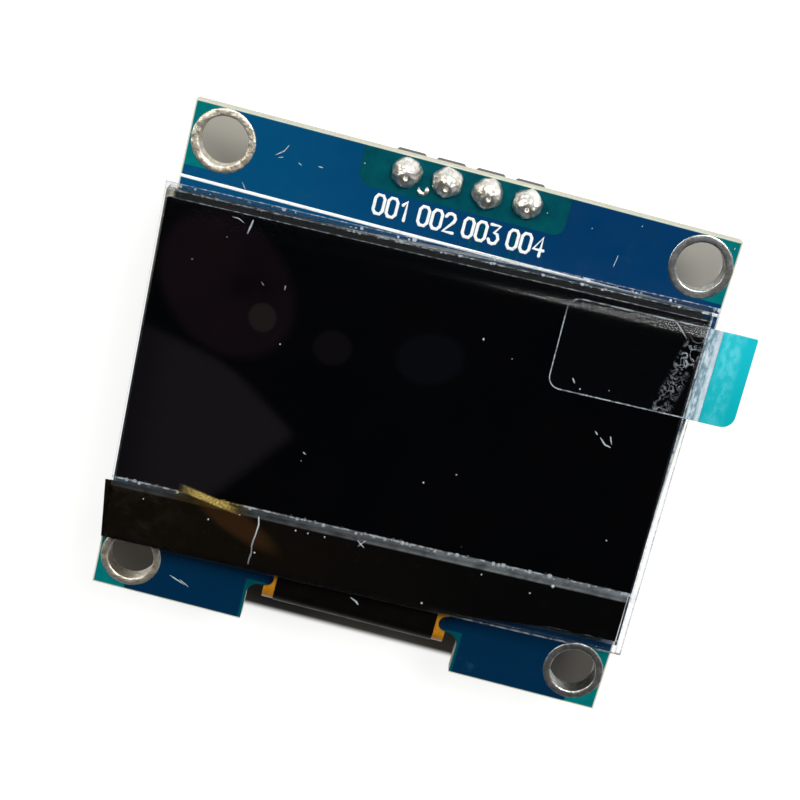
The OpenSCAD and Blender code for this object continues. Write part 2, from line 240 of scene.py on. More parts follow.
def between(mask, first, second):
    """The first number where the mask is 0 and the second where it is 1."""
    return wire(mask.id_data, "Mix", {0: mask, 2: first, 3: second}, data_type="FLOAT")


# %% Helpers for places and patterns
def rgb(red, green, blue):
    """A colour written as on screen, 0 to 255, turned into the linear light that shaders use."""
    shares = [level / 255 for level in (red, green, blue)]
    linear = [((share + 0.055) / 1.055) ** 2.4 if share > 10 / 255 else share / 12.92 for share in shares]
    return (*linear, 1)


def place(shader, on_panel=False):
    """The point being shaded, in millimetres: along the board, or along the turned panel."""
    tree = shader.id_data
    point = wire(tree, "TexCoord", {}, out=3)
    point = wire(tree, "VectorMath", {0: point, 3: 1 / MM}, operation="SCALE")
    if on_panel:
        point = wire(tree, "VectorMath", {0: point, 1: panel_centre}, operation="SUBTRACT")
        point = wire(tree, "VectorRotate", {"Vector": point, "Angle": -skew}, rotation_type="Z_AXIS")
    return point


def axes(point):
    """The x, y and z of a point as three numbers."""
    split = point.id_data.nodes.new("ShaderNodeSeparateXYZ")
    feed(split.inputs[0], point)
    return split.outputs


def facing(point):
    """The surface's own direction, as three numbers, in the finish that the point belongs to."""
    return axes(wire(point.id_data, "TexCoord", {}, out=1))


def cloud(point, size, detail=3.0, rough=0.55, twist=0.0, stretch=(1, 1, 1)):
    """Soft noise from 0 to 1 whose lumps are about size millimetres across."""
    if stretch != (1, 1, 1):
        point = wire(point.id_data, "VectorMath", {0: point, 1: stretch}, operation="MULTIPLY")
    inputs = {"Vector": point, "Scale": 1 / size, "Detail": detail, "Roughness": rough, "Distortion": twist}
    return wire(point.id_data, "TexNoise", inputs)


def specks(point, spacing, radius, share):
    """A mask of small round specks: one in each cell of the spacing, in only a share of the cells."""
    cells = {"Vector": point, "Scale": 1 / spacing}
    distance = wire(point.id_data, "TexVoronoi", cells, out=0)
    lot = axes(wire(point.id_data, "TexVoronoi", cells, out=1))
    size = product(lot[1], radius / spacing)
    spot = calc("GREATER_THAN", size, distance)
    return product(spot, calc("LESS_THAN", lot[0], share))


def near(value, centre, reach, soft):
    """A mask of a band: 1 within reach of the centre value, fading out over soft."""
    gap = calc("ABSOLUTE", minus(value, centre))
    return fade(gap, reach + soft, reach)


def span(value, low, high, soft):
    """A mask of a stretch: 1 from low to high, fading out over soft on both sides."""
    return product(fade(value, low - soft, low), fade(value, high + soft, high))


def patch(x, y, centre, radii, turn, soft):
    """A mask of an oval: its centre and two radii in millimetres, turned by an angle in degrees."""
    across = minus(x, centre[0])
    along = minus(y, centre[1])
    cosine, sine = math.cos(math.radians(turn)), math.sin(math.radians(turn))
    u = calc("DIVIDE", plus(product(across, cosine), product(along, sine)), radii[0])
    v = calc("DIVIDE", minus(product(along, cosine), product(across, sine)), radii[1])
    reach = length_of(u, v)
    return fade(reach, 1 + soft, 1 - soft)


def beside(x, y, through, heading, soft):
    """A mask of everything on the left of a line through a point; the heading is in degrees from +x."""
    cosine, sine = math.cos(math.radians(heading)), math.sin(math.radians(heading))
    across = product(minus(y, through[1]), cosine)
    along = product(minus(x, through[0]), sine)
    return fade(minus(across, along), -soft, soft)


def relief(shader, height, depth):
    """Bump on a finish: height from 0 to 1, depth in millimetres."""
    bump = wire(shader.id_data, "Bump", {"Height": height, "Distance": depth * MM, "Strength": 1.0})
    feed(shader.inputs["Normal"], bump)


def paint(shader, mask, first, second):
    """Colours a finish: the first colour where the mask is 0 and the second where it is 1."""
    feed(shader.inputs["Base Color"], blend(mask, first, second))


def roughen(shader, mask, first, second):
    """Gives a finish its roughness: the first value where the mask is 0 and the second where it is 1."""
    feed(shader.inputs["Roughness"], between(mask, first, second))


def new_finish(name, colour, roughness, metallic=0.0, **sockets):
    """A material with one Principled shader. Returns the material and the shader."""
    material = bpy.data.materials.new(name)
    material.use_nodes = True
    shader = material.node_tree.nodes["Principled BSDF"]
    settings = {"Base Color": colour, "Roughness": roughness, "Metallic": metallic}
    settings.update({key.replace("_", " "): value for key, value in sockets.items()})
    for key, value in settings.items():
        shader.inputs[key].default_value = value
    return material, shader


print("shader helpers ready")

# %% [markdown]
# ## Tools for meshes
#
# Most small parts here are plates with a shaped outline, or bodies of revolution. Blender's own primitives
# would give perfect discs and boxes, which nothing hand-soldered ever is. So each shape is made point by
# point in bmesh, Blender's mesh workshop, where every point can be moved before the faces are closed.

# %% Helpers for meshes
def slab(outline, low, high):
    """A closed plate: an outline of (x, y) points between two levels."""
    shape = bmesh.new()
    base, lid = skin(shape, [[(x, y, level) for x, y in outline] for level in (low, high)])
    shape.faces.new(base[::-1])
    shape.faces.new(lid)
    bmesh.ops.recalc_face_normals(shape, faces=shape.faces)
    return shape


def rounded(x0, y0, x1, y1, radii, steps=6):
    """Outline of a rectangle with four corner radii, from the lower left, anticlockwise."""
    outline = []
    corners = [(x0, y0, 1, 1, 180), (x1, y0, -1, 1, 270), (x1, y1, -1, -1, 0), (x0, y1, 1, -1, 90)]
    for (x, y, inward_x, inward_y, start), radius in zip(corners, radii):
        for step in range(steps + 1 if radius else 1):
            angle = math.radians(start + 90 * step / steps)
            centre_x = x + inward_x * radius
            centre_y = y + inward_y * radius
            outline.append((centre_x + radius * math.cos(angle), centre_y + radius * math.sin(angle)))
    return outline


def skin(shape, rows, closed_loop=False):
    """Joins closed rows of points into a surface; each row has as many points as the next."""
    made = [[shape.verts.new(point) for point in row] for row in rows]
    following = made[1:] + made[:1] if closed_loop else made[1:]
    for low_row, high_row in zip(made, following):
        count = len(low_row)
        for i in range(count):
            j = (i + 1) % count
            shape.faces.new([low_row[i], low_row[j], high_row[j], high_row[i]])
    return made


def rim_of(grid):
    """The outer loop of a grid of vertices, starting along its first row."""
    return grid[0] + [row[-1] for row in grid[1:]] + grid[-1][-2::-1] + [row[0] for row in grid[-2:0:-1]]


def sheet_of(xs, ys, underside, thickness):
    """A closed thin sheet over a grid of x and y; underside(x, y) gives its lower level."""
    shape = bmesh.new()
    count = len(xs)
    lower = [[shape.verts.new((x, y, underside(x, y))) for x in xs] for y in ys]
    upper = [[shape.verts.new(v.co + Vector((0, 0, thickness))) for v in row] for row in lower]
    for rows, flip in ((lower, True), (upper, False)):
        for row, following in zip(rows, rows[1:]):
            for i in range(count - 1):
                face = [row[i], row[i + 1], following[i + 1], following[i]]
                shape.faces.new(face[::-1] if flip else face)
    low_rim, high_rim = rim_of(lower), rim_of(upper)
    for i in range(len(low_rim)):
        j = (i + 1) % len(low_rim)
        shape.faces.new([low_rim[i], low_rim[j], high_rim[j], high_rim[i]])
    return shape


def add_piece(name, shape, finish, stands_for=(), on_panel=False, smooth=False, bevel=0.0):
    """Turns a bmesh in millimetres into a finished piece of the object, in metres."""
    if on_panel:
        shape.transform(panel_matrix)
    shape.transform(Matrix.Scale(MM, 4))
    mesh = bpy.data.meshes.new(name)
    shape.to_mesh(mesh)
    shape.free()
    for polygon in mesh.polygons:
        polygon.use_smooth = smooth
    made = bpy.data.objects.new(name, mesh)
    bpy.context.collection.objects.link(made)
    mesh.materials.append(finish)
    if bevel:
        soften(made, bevel)
    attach(made, "root")
    if stands_for:
        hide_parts(*stands_for)
    return made


def soften(made, width):
    """Rounds a piece's sharp edges, which catches the light as real edges do. The width is in millimetres."""
    weld = made.modifiers.new("weld", "WELD")
    weld.merge_threshold = 0.001 * MM
    edge = made.modifiers.new("soft_edges", "BEVEL")
    edge.width = width * MM
    edge.segments = 2
    edge.limit_method = "ANGLE"
    edge.angle_limit = math.radians(40)
    edge.harden_normals = True


def dress(finish, *names, bevel=0.0):
    """Gives solid pieces that keep their own shape a finish, and softer edges where a width is given."""
    for name in names:
        nodes[name].material_slots[0].material = finish
        if bevel:
            soften(nodes[name], bevel)


print("mesh helpers ready")

# %% [markdown]
# ## The board under its paint
#
# A circuit board is glass cloth in resin, painted on both faces with a clear blue lacquer. Where copper
# lies under the lacquer it looks deep blue, and where there is none it looks teal. The cut edges are bare
# and pale. The slab keeps its solid shape, so one material has to know faces from edges: the surface's own
# direction tells it, and the distance from the outline gives the thin bare line where the lacquer stops.

# %% Board finish
bare_line = 0.09
board_skin, shader = new_finish("board_without_copper", rgb(0, 96, 98), 0.3, IOR=1.45)
point = place(shader)
x, y, z = axes(point)
on_face = calc("GREATER_THAN", calc("ABSOLUTE", facing(point)[2]), 0.7)
to_edge = calc("MINIMUM", inset(x, board_low.x, board_high.x), inset(y, board_low.y, board_high.y))
painted = product(on_face, fade(to_edge, bare_line * 0.6, bare_line * 1.2))
weave = cloud(point, 0.35, detail=2)
lacquer = blend(weave, rgb(0, 96, 102), rgb(2, 120, 120))
by_pins = blend(cloud(point, 0.9, detail=4), rgb(0, 52, 70), rgb(2, 88, 94))
lacquer = blend(span(x, -8, 8, 1.5), lacquer, by_pins)
layers = cloud(point, 0.25, detail=4, stretch=(0.3, 0.3, 6))
resin = blend(layers, rgb(186, 188, 168), rgb(232, 230, 212))
paint(shader, painted, resin, lacquer)
roughen(shader, painted, 0.7, 0.2)
relief(shader, layers, 0.02)
dress(board_skin, "circuit_board")
print("bare line along the board's edges:", bare_line, "mm")

# %% [markdown]
# ## Copper under the lacquer
#
# The copper is a sheet only hundredths of a millimetre thick, etched away round the pins, in the corners
# and in narrow gaps beside each trace. It could be painted on with a mask, but a real step catches the
# light. A Blender curve in 2D mode fills an outline and leaves its inner loops open, so one curve with many
# loops makes the whole sheet with its holes. A small extrusion gives it thickness.

# %% Filled curves with holes
def traced(drawing):
    """Turns a curve's data into a bmesh."""
    drawn = bpy.data.objects.new("drawing", drawing)
    bpy.context.collection.objects.link(drawn)
    flat = bpy.data.meshes.new_from_object(drawn.evaluated_get(bpy.context.evaluated_depsgraph_get()))
    bpy.data.objects.remove(drawn)
    shape = bmesh.new()
    shape.from_mesh(flat)
    bpy.data.meshes.remove(flat)
    return shape


def filled(name, loops, low, high, finish, bevel=0.0):
    """A thin plate from closed loops of (x, y) points: its outline, then the holes in it."""
    drawing = bpy.data.curves.new(name, "CURVE")
    drawing.dimensions = "2D"
    drawing.fill_mode = "BOTH"
    drawing.extrude = (high - low) / 2 - bevel
    drawing.bevel_depth = bevel
    drawing.bevel_resolution = 1
    drawing.offset = -bevel
    for loop in loops:
        spline = drawing.splines.new("POLY")
        spline.points.add(len(loop) - 1)
        for target, (x, y) in zip(spline.points, loop):
            target.co = (x, y, 0, 1)
        spline.use_cyclic_u = True
    shape = traced(drawing)
    bmesh.ops.remove_doubles(shape, verts=shape.verts, dist=0.0005)
    shape.transform(Matrix.Translation((0, 0, (low + high) / 2)))
    return add_piece(name, shape, finish)


def circle(x, y, radius, steps=48):
    """Points round a circle."""
    turns = [2 * math.pi * step / steps for step in range(steps)]
    return [(x + radius * math.cos(angle), y + radius * math.sin(angle)) for angle in turns]


# %% Lacquer over copper
copper_skin, shader = new_finish("lacquer_over_copper", rgb(0, 62, 108), 0.25, IOR=1.45)
point = place(shader)
x, y, z = axes(point)
# Painted light: the blue is lighter at the upper left and darker to the right and towards the bottom, as if
# lit from the upper left and shaded below; the noise makes the change uneven.
tone = between(cloud(point, 6, detail=2), -0.15, 0.15)
side = plus(fade(x, -16, 10), tone)
blue_with_painted_light = blend(side, rgb(0, 72, 113), rgb(0, 51, 94))
blue_with_painted_light = blend(fade(y, -7, -14), blue_with_painted_light, rgb(0, 40, 70))
grease_and_painted_reflection = cloud(point, 1.6, detail=5, rough=0.65)
haze = product(fade(cloud(point, 2.5, detail=6, rough=0.7), 0.6, 0.8), 0.1)
colour = blend(haze, blue_with_painted_light, rgb(90, 140, 165))
feed(shader.inputs["Base Color"], colour)
roughen(shader, grease_and_painted_reflection, 0.12, 0.34)
relief(shader, cloud(point, 0.5, detail=2), 0.004)
print("lacquer finish ready")

# %% Lay the copper
copper_height = 0.035
copper_inset = 0.11
hole_clearing = 1.95
notch_clearing = 0.2
board_points = [vertex.co / MM for vertex in nodes["circuit_board"].data.vertices]
notch_left = max(p.x for p in board_points if p.x < 0 and abs(p.y - board_low.y) < 0.01) - notch_clearing
notch_top = max(p.y for p in board_points if p.y < 0 and abs(p.x) < abs(notch_left) - 0.5) + notch_clearing
pin_room = (pins[0].x - 2.8, pins[0].y - 1.45, pins[-1].x + 2.6)


def copper_outline(pin_bay):
    """Outline of the copper: the board's, cut back round the holes, the notch and, if asked, the pins."""
    left, right = board_low.x + copper_inset, board_high.x - copper_inset
    low, high = board_low.y + copper_inset, board_high.y - copper_inset
    bay_left, bay_low, bay_right = pin_room
    notch = [(notch_left, low), (notch_left, notch_top), (-notch_left, notch_top), (-notch_left, low)]
    outline = []
    for hole, out_x, out_y in ((holes[3], -1, -1), (holes[2], 1, -1), (holes[1], 1, 1), (holes[0], -1, 1)):
        edge_x = left if out_x < 0 else right
        edge_y = low if out_y < 0 else high
        corner = [(edge_x, hole.y - out_y * hole_clearing)]
        for step in range(13):
            angle = math.pi * step / 12
            inward = -out_x * hole_clearing * math.sin(angle)
            corner.append((hole.x + inward, hole.y - out_y * hole_clearing * math.cos(angle)))
        corner.append((hole.x, edge_y))
        outline += corner if out_x * out_y > 0 else corner[::-1]
        if hole == holes[3]:
            outline += notch
        if hole == holes[1] and pin_bay:
            bay = rounded(bay_left, bay_low, bay_right, high, (0.9, 0.7, 0, 0))
            outline += [(bay_right, high)] + bay[:-2][::-1] + [(bay_left, high)]
    return outline


def trace_gaps():
    """Narrow gaps beside the two traces that run down from the last two pins."""
    low, high = 9.0, 13.5
    half = 0.07
    middles = [pin.x + side * 0.26 for pin in pins[2:] for side in (-1, 1)]
    return [[(x - half, low), (x + half, low), (x + half, high), (x - half, high)] for x in middles]


front_loops = [copper_outline(True)] + trace_gaps()
filled("copper_front", front_loops, board_top, board_top + copper_height, copper_skin)
rear_loops = [copper_outline(False)] + [circle(pin.x, pin.y, 0.88) for pin in pins]
filled("copper_rear", rear_loops, -copper_height, 0, copper_skin)
print("copper on both faces,", copper_height, "mm high")

# %% [markdown]
# ## The white print
#
# White ink marks the screen's place with two lines and numbers the pins. Ink lies on the lacquer as a thin
# raised layer. A text object could write the numbers, but these strokes have one width and round ends, like
# the pen of a plotter, so each figure is a short path and a tube along it that is pressed flat.

# %% Strokes along paths
def strokes(paths, width, height, level):
    """Flat strokes with round ends along paths of (x, y) points, as one bmesh."""
    drawing = bpy.data.curves.new("strokes", "CURVE")
    drawing.dimensions = "3D"
    drawing.bevel_depth = width / 2
    drawing.bevel_resolution = 2
    drawing.use_fill_caps = True
    for path in paths:
        points = [Vector((*point[:2], 0)) for point in path]
        ends = [(points[0], points[0] - points[1]), (points[-1], points[-1] - points[-2])]
        tips = [
            [(at + way.normalized() * width * reach, size) for reach, size in ((0.5, 0.25), (0.34, 0.75))]
            for at, way in ends
        ]
        route = tips[0] + [(point, 1.0) for point in points] + tips[1][::-1]
        spline = drawing.splines.new("POLY")
        spline.points.add(len(route) - 1)
        for target, (at, size) in zip(spline.points, route):
            target.co = (*at, 1)
            target.radius = size
    shape = traced(drawing)
    shape.transform(Matrix.Translation((0, 0, level)) @ Matrix.Diagonal((1, 1, height / width, 1)))
    return shape


# %% Print the lines and the pin numbers
ink, shader = new_finish("white_ink", rgb(232, 238, 238), 0.55)
wear = cloud(place(shader), 0.35, detail=4)
paint(shader, fade(wear, 0.55, 0.75), rgb(238, 243, 243), rgb(196, 212, 218))

figure_height = 1.16
figure_width = 0.58
figure_step = 0.82
drawn_width = 0.6
label_pitch = 2.82
FIGURES = {
    "0": [
        (0.15, 0), (0, 0.18), (0, 0.82), (0.15, 1), (0.45, 1), (0.6, 0.82), (0.6, 0.18), (0.45, 0), (0.15, 0),
    ],
    "1": [(0.1, 0.78), (0.34, 1), (0.34, 0)],
    "2": [(0, 0.8), (0.12, 0.96), (0.3, 1), (0.5, 0.95), (0.6, 0.76), (0.54, 0.58), (0, 0), (0.62, 0)],
    "3": [
        (0, 1), (0.58, 1), (0.27, 0.6), (0.48, 0.55), (0.6, 0.3),
        (0.48, 0.06), (0.28, 0), (0.1, 0.04), (0, 0.2),
    ],
    "4": [(0.46, 0), (0.46, 1), (0, 0.32), (0.64, 0.32)],
}
line_up = 11.36
line_down = -11.29
figures_y = 12.12
ink_paths = []
for number in range(1, len(pins) + 1):
    middle = (number - (len(pins) + 1) / 2) * label_pitch + 0.1
    for place_in_row, figure in enumerate(f"{number:03d}"):
        start = middle + (place_in_row - 1) * figure_step - figure_width / 2
        stretch = figure_width / drawn_width
        ink_paths.append([(start + x * stretch, figures_y + y * figure_height) for x, y in FIGURES[figure]])
ink_level = board_top + copper_height
add_piece("pin_numbers", strokes(ink_paths, 0.2, 0.05, ink_level), ink)
border = [[(board_low.x + 0.05, y), (0, y), (board_high.x - 0.05, y)] for y in (line_up, line_down)]
add_piece("panel_outline_print", strokes(border, 0.2, 0.05, ink_level), ink)
print(len(ink_paths), "figures and", len(border), "lines printed")

# %% [markdown]
# ## Four tinned mounting holes
#
# Each corner hole is lined with copper and covered with solder, which never lies flat: it swells in the
# middle of its ring and freezes in small lumps. A ring swept from one profile gives the swell. Moving each
# point by smooth noise gives the lumps, and every hole has its own amount, from nearly polished to rough.

# %% Tinned metal finish
def metal(name, bright, dull, stain, stain_share, rough_low, rough_high, depth, size=0.35):
    """A soldered or plated metal: bright and dull patches, stains of flux in the hollows, and fine relief."""
    material, shader = new_finish(name, bright, rough_low, metallic=1.0)
    point = place(shader)
    patches = cloud(point, size, detail=5, rough=0.65)
    marks = cloud(point, size * 0.8, detail=4, rough=0.7, twist=0.6)
    colour = blend(fade(patches, 0.35, 0.65), bright, dull)
    stained = fade(marks, 1 - stain_share, 1 - stain_share + 0.12)
    paint(shader, stained, colour, stain)
    roughen(shader, patches, rough_low, rough_high)
    relief(shader, patches, depth)
    return material


rough_colours = (rgb(240, 236, 224), rgb(196, 186, 166), rgb(124, 104, 76))
smooth_colours = (rgb(226, 228, 224), rgb(168, 168, 162), rgb(96, 92, 84))
dark_colours = (rgb(214, 216, 214), rgb(150, 152, 150), rgb(84, 80, 74))
rough_tin = metal("rough_tin", *rough_colours, 0.42, 0.34, 0.6, 0.03)
smooth_tin = metal("smooth_tin", *smooth_colours, 0.36, 0.28, 0.46, 0.016)
dark_tin = metal("dark_tin", *dark_colours, 0.34, 0.26, 0.42, 0.012)


# %% Cast the tinned rings
def tinned_ring(low, high, swell, flatness, lumps, seed):
    """A solder-covered ring: rounded lips on both faces and a wall between them."""
    centre = (low + high) / 2
    bore = 1.5
    lip = (high.x - low.x) / 2
    middle, half = (lip + bore) / 2, (lip - bore) / 2

    def arch(amount, steps, outward):
        """Profile across one face: an arch whose top is flatter the greater the flatness."""
        points = []
        for k in range(steps + 1):
            angle = math.pi * k / steps
            u = math.copysign(abs(math.cos(angle)) ** (2 / flatness), math.cos(angle))
            points.append((middle + half * u * outward, amount * math.sin(angle) ** (2 / flatness)))
        return points

    front = [(radius, board_top + level) for radius, level in arch(swell, 14, 1)]
    wall = [(bore + 0.015, board_top * k / 5) for k in (4, 3, 2, 1)]
    rear = [(radius, -level) for radius, level in arch(swell * 0.7, 8, -1)]
    inside = [(bore + 0.05, 0.01), (bore + 0.05, board_top - 0.01)]
    profile = front + wall + rear + inside
    rough_count = len(profile) - len(inside)
    columns = []
    steps_round = 132
    for step in range(steps_round):
        angle = 2 * math.pi * step / steps_round
        column = []
        for index, (radius, level) in enumerate(profile):
            at = Vector((radius * math.cos(angle), radius * math.sin(angle), level))
            if index < rough_count:
                broad = noise.noise(at * 2.3 + Vector((seed, 0, 0)))
                fine = noise.noise(at * 6.1 + Vector((0, seed, 0)))
                outward = Vector((math.cos(angle), math.sin(angle), 0)) * (1 if radius > middle else -0.5)
                rise = Vector((0, 0, 1 if level > board_top / 2 else -1))
                amount = (broad * 0.6 + fine * 0.6) * lumps * (0.4 if index in (0, rough_count - 1) else 1)
                at += rise * amount + outward * amount * 0.4
            column.append(at + Vector((centre.x, centre.y, 0)))
        columns.append(column)
    shape = bmesh.new()
    skin(shape, columns, closed_loop=True)
    bmesh.ops.recalc_face_normals(shape, faces=shape.faces)
    return shape


ring_moods = [
    (0.11, 2.4, 0.055, rough_tin),
    (0.07, 3.4, 0.012, dark_tin),
    (0.09, 2.8, 0.02, smooth_tin),
    (0.1, 2.6, 0.03, rough_tin),
]
for i, ((low, high), (swell, flatness, lumps, tin)) in enumerate(zip(rings, ring_moods), 1):
    shape = tinned_ring(low, high, swell, flatness, lumps, 3.7 * i)
    add_piece(f"tinned_ring_{i}", shape, tin, [f"mounting_ring_{i}"], smooth=True)
print("tinned rings, outer", round(rings[0][1].x - rings[0][0].x, 2), "mm, each with its own lumps")

# %% [markdown]
# ## Solder on the pins
#
# Solder that froze quickly over a cut pin is a dome with flat facets, a blunt peak and dents. A subdivided
# sphere would be far too smooth. Here each dome is the shape left when a ball is trimmed by a handful of
# tilted planes, with the corners between them eased. Each joint has its own planes, from a seeded random
# generator.

# %% Solder finish
solder_colours = (rgb(246, 244, 238), rgb(206, 200, 188), rgb(128, 114, 94))
solder = metal("frozen_solder", *solder_colours, 0.34, 0.26, 0.5, 0.03, size=0.3)


# %% Build the solder domes
def leaning(lean, around):
    """A direction that leans from upright, towards an angle round the dome."""
    return Vector((math.sin(lean) * math.cos(around), math.sin(lean) * math.sin(around), math.cos(lean)))


def solder_dome(low, high, seed):
    """A faceted dome over a pin, with the plug of solder that fills the hole below it."""
    dice = random.Random(seed)
    centre = (low + high) / 2
    radius = (high.x - low.x) / 2
    height = high.z - board_top
    planes = []
    for tilt, count in ((30, 6), (55, 8), (84, 10)):
        for k in range(count):
            lean = math.radians(tilt + dice.uniform(-7, 7))
            around = 2 * math.pi * (k + dice.uniform(-0.35, 0.35)) / count
            planes.append((leaning(lean, around), dice.uniform(0.88, 1.0)))
    pit = Vector((dice.uniform(0.0, 0.14), dice.uniform(-0.3, -0.2)))
    columns = 88
    levels = 26
    sharpness = 40
    rows = []
    for step in range(1, levels + 1):
        lean = math.radians(90 * step / levels)
        row = []
        for k in range(columns):
            around = 2 * math.pi * k / columns
            way = leaning(lean, around)
            reach = [1.08] + [offset / way.dot(normal) for normal, offset in planes if way.dot(normal) > 0.2]
            trimmed = sum(value ** -sharpness for value in reach) ** (-1 / sharpness)
            at = Vector((way.x * radius, way.y * radius, way.z * height)) * trimmed
            at += way * 0.05 * noise.noise(at * 2.6 + Vector((seed * 5, 0, 0)))
            at += way * 0.025 * noise.noise(at * 7 + Vector((0, seed * 5, 0)))
            tip = math.exp(-((at.x - 0.03) ** 2 + (at.y + 0.02) ** 2) / 0.02)
            hollow = math.exp(-((at.x - pit.x) ** 2 + (at.y - pit.y) ** 2) / 0.018)
            at.z = max(min(at.z + 0.1 * tip - 0.24 * hollow, height), 0)
            row.append(at + Vector((centre.x, centre.y, board_top)))
        rows.append(row)
    for plug_radius, level in ((radius * 0.5, board_top), (radius * 0.5, 0.0)):
        rim = circle(centre.x, centre.y, plug_radius, columns)
        rows.append([Vector((x, y, level)) for x, y in rim])
    shape = bmesh.new()
    made = skin(shape, rows)
    crown = shape.verts.new(sum((v.co for v in made[0]), Vector()) / columns)
    for k in range(columns):
        shape.faces.new([crown, made[0][(k + 1) % columns], made[0][k]])
    shape.faces.new(made[-1])
    bmesh.ops.recalc_face_normals(shape, faces=shape.faces)
    return shape


for i, (low, high) in enumerate(joints, 1):
    shape = solder_dome(low, high, 10 + i)
    add_piece(f"solder_dome_{i}", shape, solder, [f"solder_joint_{i}"], smooth=True)
print(len(joints), "solder domes,", round(joints[0][1].x - joints[0][0].x, 2), "mm across")

# %% [markdown]
# ## A splash of solder
#
# When a joint is soldered in a hurry, a drop jumps off and freezes on the board. This one froze as a small
# hook between the first two pins. A tube whose thickness changes along a short curved path is enough for
# it, and noise takes away its evenness.

# %% Drop the splash
def worm(shape, path, thickness, level, seed, flat=0.7, around=14):
    """Adds a lumpy closed tube along (x, y) points on a level; thickness has a radius for each point."""
    rows = []
    for index, ((x, y), radius) in enumerate(zip(path, thickness)):
        before = Vector(path[max(index - 1, 0)])
        after = Vector(path[min(index + 1, len(path) - 1)])
        along = (after - before).normalized()
        row = []
        for k in range(around):
            angle = 2 * math.pi * k / around
            side = Vector((-along.y, along.x, 0)) * math.cos(angle) * radius
            rise = Vector((0, 0, math.sin(angle) * radius * flat))
            at = Vector((x, y, level + radius * flat * 0.8)) + side + rise
            at += (at - Vector((x, y, level))) * 0.5 * noise.noise(at * 4 + Vector((seed, 0, 0)))
            at.z = max(at.z, level)
            row.append(at)
        rows.append(row)
    made = skin(shape, rows)
    shape.faces.new(made[0][::-1])
    shape.faces.new(made[-1])
    bmesh.ops.recalc_face_normals(shape, faces=shape.faces)


hook = [
    (-2.86, 14.34), (-2.82, 14.16), (-2.68, 14.02), (-2.5, 13.98), (-2.36, 14.1), (-2.3, 14.3), (-2.4, 14.46),
]
splash = bmesh.new()
worm(splash, hook, [0.04, 0.11, 0.14, 0.13, 0.17, 0.19, 0.07], board_top, 4.0)
add_piece("solder_splash", splash, solder, smooth=True)
print("splash", len(hook), "points along")

# %% [markdown]
# ## The glass
#
# The screen is two plates of glass with the display between them. Clear glass could be given true
# refraction, but that makes dark, noisy shadows under a plate this thin. Mixing a see-through shader with a
# glossy one, by how steeply the glass is seen, looks the same and stays clean. Cut glass edges are pale
# green and catch the light; on the edges that face right the glint is also painted, as a paler colour.

# %% Clear finishes
def clear_finish(name, haze_colour, haze, roughness=0.08, ior=1.3):
    """A see-through skin: haze is a mask of what lies on it or in it, the rest only mirrors a little."""
    material = bpy.data.materials.new(name)
    material.use_nodes = True
    tree = material.node_tree
    body = tree.nodes["Principled BSDF"]
    body.inputs["Roughness"].default_value = 0.5
    body.inputs["IOR"].default_value = 1.4
    point = place(body, on_panel=True)
    feed(body.inputs["Base Color"], haze_colour(point))
    gloss = tree.nodes.new("ShaderNodeBsdfGlossy")
    gloss.inputs["Roughness"].default_value = roughness
    mirror = wire(tree, "Fresnel", {"IOR": ior})
    clear = wire(tree, "MixShader", {0: mirror, 1: wire(tree, "BsdfTransparent", {}), 2: gloss.outputs[0]})
    mixed = wire(tree, "MixShader", {0: haze(point), 1: clear, 2: body.outputs[0]})
    feed(tree.nodes["Material Output"].inputs["Surface"], mixed)
    return material


def edge_of(point):
    """1 on the thin upright sides of a plate and 0 on its faces."""
    return calc("LESS_THAN", calc("ABSOLUTE", facing(point)[2]), 0.6)


def glass_haze(point):
    """Mask of what dulls the front glass: its cut edges, a painted glint on the edges that face right, and
    its ground corner.
    """
    x, y, z = axes(point)
    chips = fade(cloud(point, 0.3, detail=4), 0.45, 0.7)
    # Painted highlight: edges that face right are painted paler, a glint of the light from that side.
    painted_glint_right = fade(facing(point)[0], 0.3, 0.8)
    edges = product(edge_of(point), between(painted_glint_right, between(chips, 0.03, 0.14), 0.6))
    return largest(edges, product(glass_corner(x, y), 0.6), 0.004)


def glass_corner(x, y):
    """The ground corner at the glass's upper left."""
    low, high = glass
    return product(fade(x, low.x + 0.55, low.x + 0.45), fade(y, high.y - 0.6, high.y - 0.5))


def glass_colour(point):
    """The front glass: green on its edges and brown on its ground corner."""
    x, y, z = axes(point)
    return blend(glass_corner(x, y), rgb(150, 176, 178), rgb(150, 142, 122))


front_glass_skin = clear_finish("front_glass", glass_colour, glass_haze, ior=1.3)


def sealed_area(x, y):
    """The part of the rear glass behind which the display layers lie."""
    low, high = panel_box("rear_glass")
    across = span(x, low.x + 0.85, high.x - 0.85, 0.1)
    return product(across, span(y, low.y + 0.7, high.y - 0.35, 0.1))


def rear_glass_haze(point):
    """Mask of what dulls the rear glass: the display layers and its cut edges."""
    x, y, z = axes(point)
    return largest(sealed_area(x, y), product(edge_of(point), 0.12), 0.02)


def rear_glass_colour(point):
    """The rear glass: green on its edges and black behind the display."""
    x, y, z = axes(point)
    return blend(sealed_area(x, y), rgb(84, 104, 106), rgb(5, 6, 8))


rear_glass_skin = clear_finish("rear_glass", rear_glass_colour, rear_glass_haze, ior=1.3)
dress(rear_glass_skin, "rear_glass")

# %% Cut the front glass
air = 0.004
low, high = glass
shape = slab(rounded(low.x, low.y, high.x, high.y, (0.06,) * 4, 3), low.z + air, high.z - air)
add_piece("screen_glass", shape, front_glass_skin, ["front_glass"], on_panel=True, bevel=0.05)
print("front glass", round(high.z - low.z, 2), "mm thick")

# %% [markdown]
# ## What is behind the glass
#
# A strip of foam holds the panel to the board, and a bare silicon chip sits under the glass's lower ledge.
# Both are simple solids that show only at the edges, so they keep their shapes and get a fitting surface.

# %% Foam and chip
foam_skin, shader = new_finish("foam_tape", rgb(38, 38, 40), 0.9)
bubbles = wire(shader.id_data, "TexVoronoi", {"Vector": place(shader), "Scale": 9})
paint(shader, bubbles, rgb(20, 20, 22), rgb(58, 58, 60))
relief(shader, bubbles, 0.05)
dress(foam_skin, "foam_tape")

